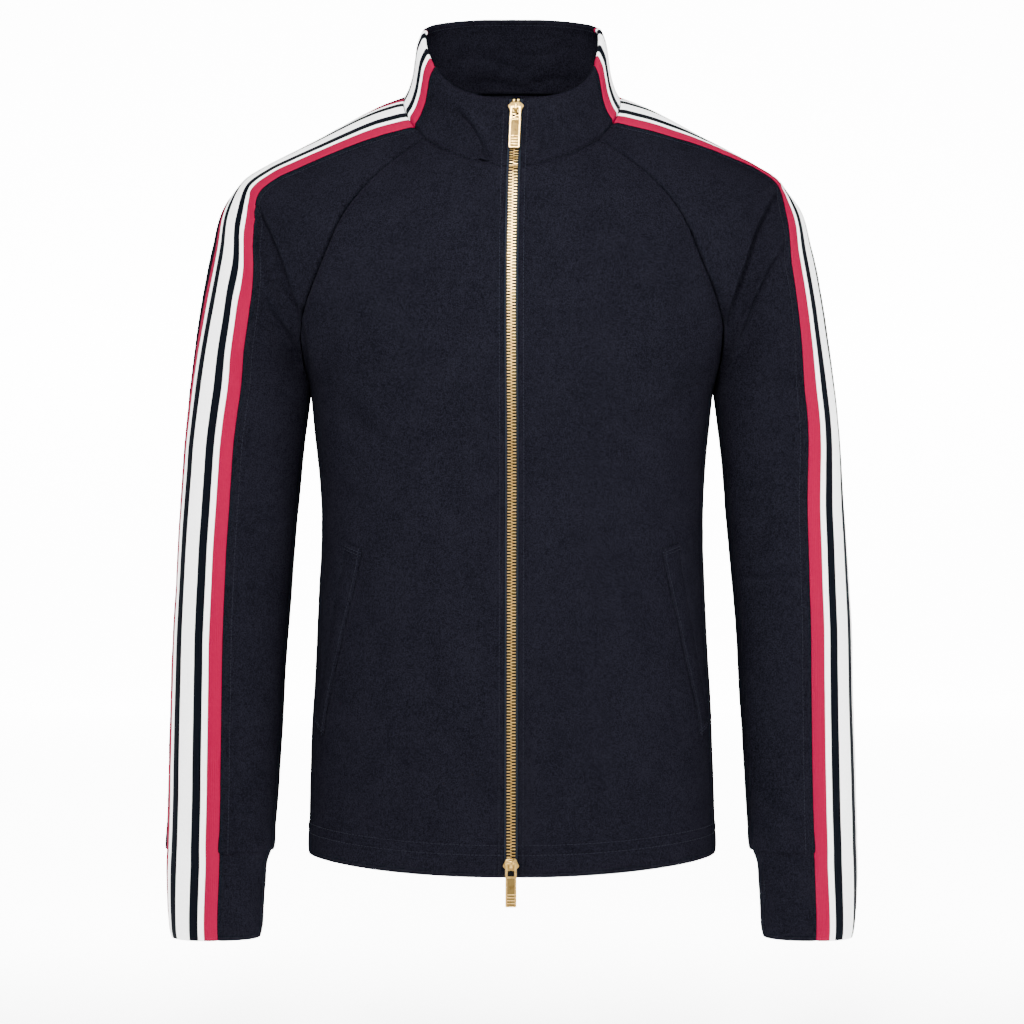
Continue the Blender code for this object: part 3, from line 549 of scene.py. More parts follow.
def ring_section(z: float, outer: float, inner: float, middle: float, depth: float) -> Floats:
    """A dense ring of a sleeve, from its underarm seam round the front, the outer side and the back."""
    turns = np.linspace(-math.pi, math.pi, 2 * SAMPLES + 1)
    across, ahead = (np.sign(way) * np.abs(way) ** RING_SQUARENESS for way in (np.cos(turns), np.sin(turns)))
    x = (outer + inner) / 2 + (outer - inner) / 2 * across
    return np.stack([x, middle + depth * ahead, np.full_like(x, z)], axis=1)


def rings_of(columns: dict[str, Floats]) -> list[Floats]:
    """The rings of a sleeve's or a cuff's table."""
    return [ring_section(*row) for row in zip(*(columns[name] for name in RING.split()))]


def sleeve_sections() -> list[Floats]:
    """Every section of the wearer's left sleeve, from the neck to the cuff's seam."""
    rows = list(zip(*(yoke_points(name) for name in "frb"), YOKE["spread"]))
    last = {name: values[-1] for name, values in YOKE.items()}
    armpit = ring_section(last["fz"], last["rx"], last["fx"], 0.0, ARMPIT_HALF_DEPTH)
    return [arc_section(*row) for row in rows[:-1]] + [armpit] + rings_of(SLEEVE)


# ------------------------------------------------------------------ grids of cloth


def stations(length: float, step: float, near: Sequence[float], far: Sequence[float]) -> Floats:
    """Distances along a panel, close together at chosen places near its two ends and even between.

    Args:
        length: the whole distance.
        step: the spacing between.
        near: distances from the start.
        far: distances from the end.

    Returns:
        The distances as shares of the length.
    """
    first, last = np.array(near, float), length - np.array(far, float)[::-1]
    count = max(2, round((last[0] - first[-1]) / step))
    between = np.linspace(first[-1], last[0], count + 1)[1:-1]
    return np.concatenate([first, between, last]) / length


def mean_run(controls: Floats) -> Floats:
    """The mean distance down a grid's control rows."""
    return np.concatenate([[0], np.cumsum(np.linalg.norm(np.diff(controls, axis=0), axis=2).mean(axis=1))])


def level(start: float, end: float, value: Floats) -> Floats:
    """A smooth step from 0 at start to 1 at end."""
    share = np.clip((value - start) / (end - start), 0, 1)
    return share * share * (3 - 2 * share)


def bump_at(value: Floats, middle: float, half_width: float) -> Floats:
    """A soft bell of height one round a middle."""
    return np.exp(-(((value - middle) / half_width) ** 2))


def ripple(points: Floats, size: float, seed: float, stretch: Point = (1, 1, 1)) -> Floats:
    """Smooth noise from -1 to 1 through space, in waves of a size, with space first stretched."""
    flat = (points * stretch).reshape(-1, 3) / size + seed
    return np.array([noise.noise(point) for point in flat]).reshape(points.shape[:-1])


def unevenness(points: Floats) -> Floats:
    """How far worn cloth lies off its smooth form: long soft waves and short slight ones, one field."""
    return 0.8 * ripple(points, 64, 2.2, (1, 1, 0.7)) + 0.22 * ripple(points, 21, 4.6, (1, 1, 0.7))


@dataclass(frozen=True)
class Fold:
    """A deep fold, by its line through space, its depth and its half width."""

    line: tuple[Point, ...]
    depth: float
    half_width: float

    def depths(self, points: Floats, count: int = 24) -> Floats:
        """How far each point sinks into the fold, by its nearest place of so many."""
        line = evenly(np.array(self.line, float), count)
        away = np.linalg.norm(points.reshape(-1, 1, 3) - line[None], axis=2)
        taper = np.sin(np.pi * np.clip((away.argmin(axis=1) + 2) / (count + 3), 0, 1)) ** 0.6
        depths = self.depth * taper * bump_at(away.min(axis=1), 0, self.half_width)
        return depths.reshape(points.shape[:-1])


@dataclass(frozen=True)
class Crease:
    """A crease: a trough with a soft ridge beside it, by its line across the front or the back.

    Its line is x and z pairs. The trough is this deep and half this wide. The ridge is a share of that depth,
    on the side that lean gives: to the right of the line's run seen from the front where it is 1. There the
    trough is narrower by the share steep, so that a small share makes a sharp fold, one side over the other.
    """

    line: tuple[tuple[float, float], ...]
    depth: float
    half_width: float
    ridge: float = 0.5
    lean: int = 1
    steep: float = 1.0
    face: Face = Face.FRONT
    ridge_away: float = 1.7
    ridge_width: float = 1.1
    places: int = 48

    def heights(self, points: Floats, normals: Floats) -> Floats:
        """How far each point moves outwards: the ridge less the trough."""
        line = np.array(self.line, float)
        run = runs(line)
        smooth = along(np.linspace(0, run[-1], self.places), run, line)
        place = points[..., (0, 2)].reshape(-1, 2)
        away = place[:, None] - smooth[None]
        nearest = np.linalg.norm(away, axis=2).argmin(axis=1)
        heading = unit(np.gradient(smooth, axis=0))[nearest]
        offset = away[np.arange(len(place)), nearest]
        beside = offset[:, 0] * heading[:, 1] - offset[:, 1] * heading[:, 0]
        distance = np.linalg.norm(offset, axis=1) * np.where(beside * self.lean > 0, 1, -1)
        taper = np.sin(np.pi * (nearest + 1.5) / (self.places + 2)) ** 0.75
        near = self.half_width * self.steep
        trough = bump_at(distance, 0, np.where(distance > 0, near, self.half_width))
        ridge = bump_at(distance, self.ridge_away * near, self.ridge_width * near)
        facing = level(-0.15, 0.45, normals[..., 1].reshape(-1) * self.face.value)
        return ((ridge * self.ridge - trough) * self.depth * taper * facing).reshape(points.shape[:-1])


def grid_normals(points: Floats) -> Floats:
    """A grid's normals, not brought to length one, on the side that its rows and columns give."""
    return np.cross(np.gradient(points, axis=0), np.gradient(points, axis=1))


def body_core(points: Floats, y: float = 0.0) -> Floats:
    """For each point, the point of the body's axis at its height."""
    return points * [0, 0, 1] + [0, y, 0]


@dataclass
class ClothGrid:
    """A panel of cloth as a grid of points on its outer face, rows by columns, waiting for its wall.

    The distances from the four edges are taken once, before the cloth is creased, and seams, hems and stitch
    rows are all placed by them. Without a core of its own, a panel faces away from the body's axis.
    """

    name: str
    points: Floats
    core: Floats | None = None
    thickness: float = 1.6
    open_cells: set[tuple[int, int]] = field(default_factory=set)

    def __post_init__(self) -> None:
        """Takes the grid's distances and its normals."""
        self.core = body_core(self.points) if self.core is None else self.core
        self.down, self.across = runs(self.points, 0), runs(self.points, 1)
        self.thick = np.full(self.points.shape[:2], self.thickness)
        self.take_normals()

    def take_normals(self) -> None:
        """Takes the grid's normals, pointing away from its core."""
        normals = unit(grid_normals(self.points))
        self.normals = normals * (-1 if (normals * (self.points - self.core)).sum() < 0 else 1)

    def from_edge(self, edge: Edge) -> Floats:
        """Each point's distance from an edge, along the cloth."""
        axis, end = edge.value
        run = (self.down, self.across)[axis]
        return run if end == 0 else run.take([-1], axis) - run

    def move(self, heights: Floats) -> None:
        """Moves the points along their normals, and takes the normals again."""
        self.points = self.points + self.normals * heights[..., None]
        self.take_normals()

    def line_beside(self, edge: Edge, distance: float, proud: float = 0.1) -> Floats:
        """The line that lies at one distance from an edge, on the outer face.

        Args:
            edge: the edge.
            distance: how far from it.
            proud: how far the line stands off the cloth.

        Returns:
            The points of the line.
        """
        away, raised = self.from_edge(edge), self.points + self.normals * proud
        if edge.value[0] == 0:
            away, raised = away.T, raised.transpose(1, 0, 2)
        if edge.value[1] == -1:
            away, raised = away[:, ::-1], raised[:, ::-1]
        rows = zip(away, raised)
        return np.array([[np.interp(distance, run, row[:, k]) for k in range(3)] for run, row in rows])

    def area(self) -> float:
        """The area of the outer face in square metres."""
        a, b = np.diff(self.points, axis=0)[:, :-1], np.diff(self.points, axis=1)[:-1]
        return float(np.linalg.norm(np.cross(a, b), axis=2).sum()) * TO_METRES**2


# ------------------------------------------------------------------ meshes


SEAM_GAP = -1.6
RIM_TURNS = (45, 90, 135)


def add_object(name: str, data: bpy.types.ID | None) -> Item:
    """Adds an object to the scene."""
    made = bpy.data.objects.new(name, data)
    bpy.context.scene.collection.objects.link(made)
    return made


def new_mesh(
    name: str, points: Sequence, faces: Sequence, material: Material | None = None, edges: Sequence = ()
) -> bpy.types.Mesh:
    """A smooth-shaded mesh.

    Args:
        name: its name.
        points: its points in millimetres.
        faces: tuples of point numbers.
        material: its material, if it has one.
        edges: pairs of point numbers, for lines without faces.

    Returns:
        The mesh.
    """
    mesh = bpy.data.meshes.new(name)
    mesh.from_pydata((np.array(points) * TO_METRES).tolist(), edges, faces)
    mesh.polygons.foreach_set("use_smooth", np.ones(len(faces), bool))
    if material:
        mesh.materials.append(material)
    return mesh


def walls(ring: int, count: int, first: int = 0) -> list[tuple[int, ...]]:
    """The faces between so many rings of points in a row, each ring closed."""
    starts = [first + number * ring for number in range(count - 1)]
    corners = [(start + k, start + (k + 1) % ring) for start in starts for k in range(ring)]
    return [(a, b, b + ring, a + ring) for a, b in corners]


def shell(grid: ClothGrid, material: Material) -> Item:
    """The closed wall of a panel, with round rims where the cloth ends.

    Args:
        grid: the panel.
        material: its cloth.

    Returns:
        The object, with a UV map in millimetres.
    """
    rows, columns = grid.points.shape[:2]
    cells = {(r, c) for r in range(rows - 1) for c in range(columns - 1)} - grid.open_cells
    centre_sum, centre_count = np.zeros((rows, columns, 3)), np.zeros((rows, columns, 1))
    for r, c in cells:
        corner = (slice(r, r + 2), slice(c, c + 2))
        centre_sum[corner] += grid.points[corner].mean(axis=(0, 1))
        centre_count[corner] += 1
    outwards = grid.points - centre_sum / np.maximum(centre_count, 1)
    outwards = unit(outwards - (outwards * grid.normals).sum(axis=2, keepdims=True) * grid.normals)
    on_rim = (centre_count > 0) & (centre_count < 4)
    radius = (grid.thick / 2)[..., None]
    outer = grid.points - np.where(on_rim, outwards * (radius + SEAM_GAP / 2), 0)
    inner = outer - grid.normals * 2 * radius
    rims = [
        (outer + inner) / 2 + radius * (grid.normals * math.cos(turn) + outwards * math.sin(turn))
        for turn in map(math.radians, RIM_TURNS)
    ]
    layers = [outer, *rims, inner]
    count = rows * columns
    last = (len(layers) - 1) * count
    turned = (grid_normals(grid.points) * grid.normals).sum() > 0
    faces = []
    for r, c in sorted(cells):
        corners = [(r, c), (r, c + 1), (r + 1, c + 1), (r + 1, c)]
        beyond = [(r - 1, c), (r, c + 1), (r + 1, c), (r, c - 1)]
        if turned:
            corners, beyond = corners[::-1], [beyond[2], beyond[1], beyond[0], beyond[3]]
        ids = [row * columns + column for row, column in corners]
        faces += [ids, [i + last for i in reversed(ids)]]
        for k, neighbour in enumerate(beyond):
            if neighbour in cells:
                continue
            a, b = ids[k], ids[(k + 1) % 4]
            faces += [[b + low, a + low, a + low + count, b + low + count] for low in range(0, last, count)]
    points = np.vstack([layer.reshape(-1, 3) for layer in layers])
    used = np.unique(np.concatenate(faces))
    renumber = np.full(len(points), -1)
    renumber[used] = np.arange(len(used))
    mesh = new_mesh(grid.name, points[used], [tuple(renumber[face]) for face in faces], material)
    loops = np.empty(len(mesh.loops), np.int32)
    mesh.loops.foreach_get("vertex_index", loops)
    uv = np.tile(np.stack([grid.across, -grid.down], axis=2).reshape(-1, 2), (len(layers), 1))[used][loops]
    mesh.uv_layers.new(name="cloth").data.foreach_set("uv", uv.reshape(-1).astype(np.float32))
    return add_object(grid.name, mesh)


def snap(points: Floats, edge: Edge, seam: Floats, reach: float = 25.0) -> Floats:
    """Brings the first or the last column of a grid onto a seam's line, easing off inwards.

    Args:
        points: the grid.
        edge: which edge lies on the seam.
        seam: the points of the seam's line.
        reach: how far inwards the shift is felt.

    Returns:
        The eased grid.
    """
    turn = edge.value[1] or 1
    grid = points[:, ::turn]
    dense = evenly(seam, 900)
    nearest = np.linalg.norm(grid[:, 0][:, None] - dense[None], axis=2).argmin(axis=1)
    shift = dense[nearest] - grid[:, 0]
    grid = grid + shift[:, None] * (np.clip(1 - runs(grid, 1) / reach, 0, 1) ** 2)[..., None]
    return grid[:, ::turn]


def smooth_line(points: Floats) -> Floats:
    """A smooth line through points, by its chords."""
    run = runs(points)
    return along(np.linspace(0, run[-1], 240), run, points)


def raglan_seam(side: Side, face: Face) -> Floats:
    """The raglan seam's line from the neck to the armpit, on the front or the back."""
    return smooth_line(yoke_points("f" if face is Face.FRONT else "b") * side.mirror)


def panel_seam(side: Side, face: Face) -> Floats:
    """A body panel's whole side: its raglan seam, then its side seam down to the hem."""
    down = smooth_line(np.stack([side.value * BODY["side"], 0 * BODY["z"], BODY["z"]], axis=1))
    return np.vstack([raglan_seam(side, face), down[1:]])


# ------------------------------------------------------------------ seams and stitches


@dataclass(frozen=True)
class Seam:
    """How cloth behaves beside a seam: it dips to the stitches and puckers a little along them."""

    dip: float = 1.6
    dip_width: float = 1.05
    pucker: float = 0.22
    pucker_mm: float = 9.0

    def heights(self, grid: ClothGrid, edge: Edge, seed: float) -> Floats:
        """How far each point of a panel moves for a seam at its edge."""
        away = grid.from_edge(edge)
        waves = ripple(grid.points, self.pucker_mm, seed)
        return -self.dip * bump_at(away, 0, self.dip_width) + self.pucker * waves * bump_at(away, 5, 6)


NECK_SEAM, TAPE_SEAM, TAPE_EDGE, TAPE_TOP = Seam(2.4, 1.6), Seam(1.2, 1.6), Seam(0.8, 2.6), Seam(0.7, 3.0)
# Where each seam's puckers lie in the noise. Both sides of the tape's seams share theirs, so that they agree.
BODY_SEED, RAGLAN_SEED, TAPE_SEED, NECK_SEED, COLLAR_SEED = 11.3, 21.7, 8.4, 3.3, 5.1
# Over what distance from a sewn edge a crease fades, and a deep fold.
CREASE_CLEAR, FOLD_CLEAR = (0, 7), (2, 20)


@dataclass(frozen=True)
class StitchRow:
    """A row of lockstitches along a line."""

    line: Floats
    pitch: float = 3.1
    length: float = 2.5


def sunk_row(grid: ClothGrid, edge: Edge, distance: float, depth: float, width: float) -> Floats:
    """The groove that a stitch row presses into the cloth at one distance from an edge."""
    return -depth * bump_at(grid.from_edge(edge), distance, width)


class RepeatAlong:
    """A Geometry Nodes tree that sets one small piece again and again along lines."""

    SOCKETS = {
        "Lines": "Geometry", "Piece": "Object", "Pitch": "Float", "Turn": "Float", "Seed": "Int",
        "Material": "Material",
    }

    def __init__(self, name: str, pivot: str = "AUTO") -> None:
        """Builds the tree.

        Args:
            name: its name.
            pivot: the axis that each piece may turn round to follow its line.
        """
        self.tree = tree = bpy.data.node_groups.new(name, "GeometryNodeTree")
        self.sockets = {}
        for label, kind in self.SOCKETS.items():
            socket = tree.interface.new_socket(label, in_out="INPUT", socket_type=f"NodeSocket{kind}")
            self.sockets[label] = socket.identifier
        tree.interface.new_socket("Pieces", in_out="OUTPUT", socket_type="NodeSocketGeometry")
        start = add_node(tree, "NodeGroupInput").node.outputs
        curve = add_node(tree, "GeometryNodeMeshToCurve", {"Mesh": start["Lines"]})
        even = {"Curve": curve, "Length": start["Pitch"]}
        even = add_node(tree, "GeometryNodeResampleCurve", even, mode="LENGTH")
        tangent = {"Vector": add_node(tree, "GeometryNodeInputTangent")}
        facing = add_node(tree, "FunctionNodeAlignRotationToVector", tangent, axis="Z", pivot_axis=pivot)
        limits = {2: combine(tree, "MULTIPLY", start["Turn"], -1.0), 3: start["Turn"], "Seed": start["Seed"]}
        spin = add_node(tree, "FunctionNodeRandomValue", limits, 1, data_type="FLOAT")
        twist = add_node(tree, "ShaderNodeCombineXYZ", {"X": spin, "Y": spin})
        both = {"Rotation": facing, "Rotate By": add_node(tree, "FunctionNodeEulerToRotation", {0: twist})}
        both = add_node(tree, "FunctionNodeRotateRotation", both, rotation_space="LOCAL")
        piece = add_node(tree, "GeometryNodeObjectInfo", {"Object": start["Piece"]}, "Geometry")
        placed = {"Points": even, "Instance": piece, "Rotation": both}
        placed = add_node(tree, "GeometryNodeInstanceOnPoints", placed)
        real = add_node(tree, "GeometryNodeRealizeInstances", {0: placed})
        dressed = {"Geometry": real, "Material": start["Material"]}
        add_node(tree, "NodeGroupOutput", {0: add_node(tree, "GeometryNodeSetMaterial", dressed)})

    def build(self, name: str, lines: Iterable[Floats], **values) -> Item:
        """Sets a piece along lines and makes the result a plain mesh.

        Args:
            name: the new object's name.
            lines: polylines in millimetres.
            values: the tree's inputs, its pitch in millimetres.

        Returns:
            The new object, linked to the scene.
        """
        points, edges = [], []
        for line in lines:
            edges += [(len(points) + k, len(points) + k + 1) for k in range(len(line) - 1)]
            points += line.tolist()
        holder = add_object(name + "_lines", new_mesh(name, points, (), edges=edges))
        modifier = holder.modifiers.new("repeat", "NODES")
        modifier.node_group = self.tree
        values["Pitch"] *= TO_METRES
        for label, value in values.items():
            modifier[self.sockets[label]] = value
        graph = bpy.context.evaluated_depsgraph_get()
        result = bpy.data.meshes.new_from_object(holder.evaluated_get(graph), depsgraph=graph)
        result.name = name
        bpy.data.objects.remove(holder)
        if not result.materials:
            result.materials.append(values["Material"])
        result.polygons.foreach_set("use_smooth", np.ones(len(result.polygons), bool))
        return add_object(name, result)


class Stitcher:
    """Lays rows of stitches, all from one spindle-shaped stitch, whose ends dive into the cloth.

    The spindle's rings are where each stands along it and how wide it is, as shares.
    """

    RINGS = ((-1.0, 0.12), (-0.72, 0.72), (0.0, 1.0), (0.72, 0.72), (1.0, 0.12))
    SIDES = 6
    RADIUS = 0.24
    TURN = 0.05

    def __init__(self, thread: Material) -> None:
        """Makes the tree and keeps the thread's material."""
        self.thread = thread
        self.repeat = RepeatAlong("stitches_along_a_row")
        self.rows_made = 0

    def spindle(self, length: float) -> Item:
        """One stitch, to be removed once used."""
        around = 2 * np.pi * np.arange(self.SIDES) / self.SIDES
        points = [
            (wide * self.RADIUS * math.cos(turn), wide * self.RADIUS * math.sin(turn), share * length / 2)
            for share, wide in self.RINGS
            for turn in around
        ]
        ends = [tuple(range(self.SIDES))[::-1], tuple(range(len(points) - self.SIDES, len(points)))]
        mesh = new_mesh("stitch", points, walls(self.SIDES, len(self.RINGS)) + ends)
        return bpy.data.objects.new("stitch", mesh)

    def lay(self, name: str, rows: Sequence[StitchRow]) -> Item:
        """Lays rows that share a pitch and length.

        Args:
            name: the new object's name.
            rows: the rows.

        Returns:
            The stitches, as one object.
        """
        self.rows_made += len(rows)
        stitch = self.spindle(rows[0].length)
        values = {"Piece": stitch, "Pitch": rows[0].pitch, "Turn": self.TURN, "Seed": self.rows_made}
        made = self.repeat.build(name, [row.line for row in rows], Material=self.thread, **values)
        bpy.data.objects.remove(stitch)
        return made


# ------------------------------------------------------------------ the workshop, shared by all


@dataclass(frozen=True)
class Cut:
    """The flat size of a piece's cut, in metres: its width, its length and its area."""

    width: float
    length: float
    area: float


@dataclass
class Workshop:
    """The finishes, the stitcher and the panels made so far."""

    finishes: dict[str, Material] = field(
        default_factory=lambda: {
            "navy_jersey": SweatJersey().material(),
            "stripe_tape": StripedTape().material(),
            "zip_tape": WovenZipTape().material(),
            "zip_metal": Brass().material(),
        }
    )
    grids: dict[str, ClothGrid] = field(default_factory=dict)

    def __post_init__(self) -> None:
        """Readies the stitcher."""
        self.stitcher = Stitcher(SewingThread().material())

    def cloth(
        self, grid: ClothGrid, slot: str, cut: Cut, rests_on: Sequence[str], rows: Sequence[StitchRow] = ()
    ) -> None:
        """Makes a panel's wall, hides the CAD node that it replaces and lays its stitches.

        Args:
            grid: the panel, named as the CAD node that it replaces.
            slot: the record's slot that it takes its finish from.
            cut: its flat size; not used.
            rests_on: what it hangs from or is sewn to; not used.
            rows: its stitch rows.
        """
        self.grids[grid.name] = grid
        node, grid.name = grid.name, grid.name + "_cloth"
        piece = shell(grid, self.finishes[slot])
        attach(piece, JACKET)
        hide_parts(node)
        if rows:
            stitches = self.stitcher.lay(f"{node}_stitches", rows)
            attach(stitches, JACKET)
        LOG.info("%s: %d faces, %.4f m2 of face", piece.name, len(piece.data.polygons), grid.area())

    def metal(self, piece: Item, body: str, node: str) -> None:
        """Attaches a piece of the zip's metal to its body and hides the CAD node that it replaces.

        Args:
            piece: the finished piece.
            body: the body that it rides on.
            node: the CAD node that it replaces.
        """
        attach(piece, body)
        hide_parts(node)
        LOG.info("%s: %d faces", piece.name, len(piece.data.polygons))


def creases(face: Face, *rows: tuple) -> tuple[Crease, ...]:
    """Creases on one face of the jacket, each row in the order of the class's fields."""
    return tuple(Crease(*row, face=face) for row in rows)


def turned_in(grid: ClothGrid, depth: float = 0.6, width: float = 3.0) -> Floats:
    """How far a cuff's end turns in."""
    return -depth * bump_at(grid.from_edge(Edge.FOOT), 0, width)


FOLDS = {
    Side.RIGHT: (
        Fold(((-224, -50, -72), (-205, -72, -108), (-193, -72, -148), (-181, -60, -190)), 6.5, 15),
        Fold(((-212, -70, -150), (-190, -62, -205)), 4, 13),
        Fold(((-222, 52, -70), (-205, 72, -112), (-188, 66, -165)), 5.5, 16),
    ),
    Side.LEFT: (
        Fold(((228, -48, -62), (214, -70, -100), (198, -76, -135), (186, -66, -178)), 6.5, 15),
        Fold(((234, -62, -112), (214, -66, -160), (190, -58, -205)), 4.5, 13),
        Fold(((224, 52, -74), (206, 72, -118), (186, 64, -172)), 5.5, 16),
    ),
}
CREASES = creases(
    Face.FRONT,
    # The armpits in front: two strong folds each side, from the shoulder down into the underarm.
    (
        ((-219, -70), (-208, -94), (-199, -114), (-191, -136), (-184, -158), (-179, -174), (-173, -208)),
        9, 13, 0.25, -1, 0.2,
    ),
    (((-210, -152), (-196, -177), (-186, -192), (-175, -212)), 5.4, 11, 0.3, -1, 0.3),
    (((-232, -100), (-226, -140), (-210, -182)), 1.6, 8, 0.5, 1),
    (
        ((229, -58), (219, -76), (207, -98), (199, -122), (190, -148), (184, -168), (176, -200)),
        9.5, 12, 0.25, 1, 0.2,
    ),
    (((232, -108), (219, -128), (207, -152), (199, -174), (188, -202)), 6.6, 10, 0.3, 1, 0.22),
    # The sleeves: soft diagonals at the elbow and above the cuff.
    (((244, -306), (216, -338), (188, -366)), 2.6, 8, 0.6, 1),
    (((232, -386), (212, -389), (194, -388)), 2.2, 4, 0.6, 1),
    (((205, -570), (222, -584), (244, -600)), 2.3, 7, 0.6, 1),
    (((-226, -318), (-210, -336), (-192, -346)), 2, 9, 0.5, -1),
    (((-252, -420), (-236, -446), (-214, -462)), 1.2, 10, 0.5, 1),
    (((-250, -566), (-232, -584), (-212, -592)), 1.4, 7, 0.5, -1),
    (((250, -470), (232, -492), (210, -500)), 1.2, 10, 0.5, -1),
    # The fronts: the cloth hangs from the chest in long shallow runs, and pulls a little at the pockets.
    (((-150, -232), (-128, -262), (-98, -278)), 2, 9, 0.5, -1),
    (((152, -226), (126, -250), (92, -262)), 2, 9, 0.5, 1),
    (((-158, -300), (-138, -318), (-120, -322)), 1.2, 8, 0.4, -1),
    (((-52, -120), (-46, -210), (-60, -310)), 0.9, 16, 0.4, 1),
    (((70, -150), (58, -250), (66, -340)), 0.9, 18, 0.4, -1),
    (((-86, -402), (-70, -460), (-72, -540)), 1.1, 13, 0.5, -1),
    (((96, -396), (78, -470), (84, -556)), 1.1, 13, 0.5, 1),
    (((-20, -470), (-26, -520), (-22, -580)), 0.8, 8, 0.5, 1),
    (((24, -430), (30, -500), (25, -590)), 0.8, 8, 0.5, -1),
    (((-132, -560), (-120, -580), (-126, -606)), 1, 9, 0.5, 1),
    (((138, -548), (124, -576), (130, -604)), 1, 9, 0.5, -1),
) + creases(
    Face.BACK,
    # The back: between the shoulder blades, down from the armpits, and a soft fullness over the hem.
    (((-210, -96), (-192, -136), (-178, -186), (-170, -214)), 3.2, 4.6, 0.7, 1),
    (((-188, -176), (-160, -204), (-128, -222)), 1.8, 8, 0.6, 1),
    (((212, -92), (196, -130), (184, -180), (172, -210)), 3.2, 4.6, 0.7, -1),
    (((190, -170), (158, -198), (120, -210)), 1.8, 8, 0.6, -1),
    (((-70, -40), (-40, -66), (4, -74), (48, -64)), 1.2, 9, 0.5, 1),
    (((-24, -150), (-34, -240), (-20, -330)), 1.3, 15, 0.5, 1),
    (((56, -180), (44, -290), (60, -380)), 1.2, 17, 0.5, -1),
    (((-98, -300), (-84, -380), (-92, -470)), 1.2, 14, 0.5, -1),
    (((-130, -520), (-70, -534), (-10, -526)), 1.6, 8, 0.7, 1),
    (((12, -548), (74, -560), (132, -548)), 1.4, 8, 0.7, 1),
    (((110, -420), (100, -480), (112, -540)), 1.1, 12, 0.5, 1),
    (((-252, -300), (-232, -330), (-204, -344)), 2.2, 6, 0.6, 1),
    (((-246, -348), (-228, -362), (-202, -360)), 1.6, 5, 0.6, -1),
    (((256, -310), (234, -336), (206, -350)), 2.2, 6, 0.6, -1),
    (((250, -356), (230, -372), (206, -372)), 1.6, 5, 0.6, 1),
    (((-262, -560), (-240, -580), (-218, -588)), 1.5, 6, 0.5, 1),
    (((262, -552), (240, -574), (216, -580)), 1.5, 6, 0.5, -1),
)


def creased(grid: ClothGrid, faces: Sequence[Face], sewn: Sequence[Edge]) -> Floats:
    """How far a panel's points move for its creases.

    Args:
        grid: the panel.
        faces: the faces of the jacket whose creases it may take.
        sewn: its edges that a seam holds, where the creases end.

    Returns:
        A height for each point.
    """
    heights = sum(crease.heights(grid.points, grid.normals) for crease in CREASES if crease.face in faces)
    for edge in sewn:
        heights = heights * level(*CREASE_CLEAR, grid.from_edge(edge))
    return heights


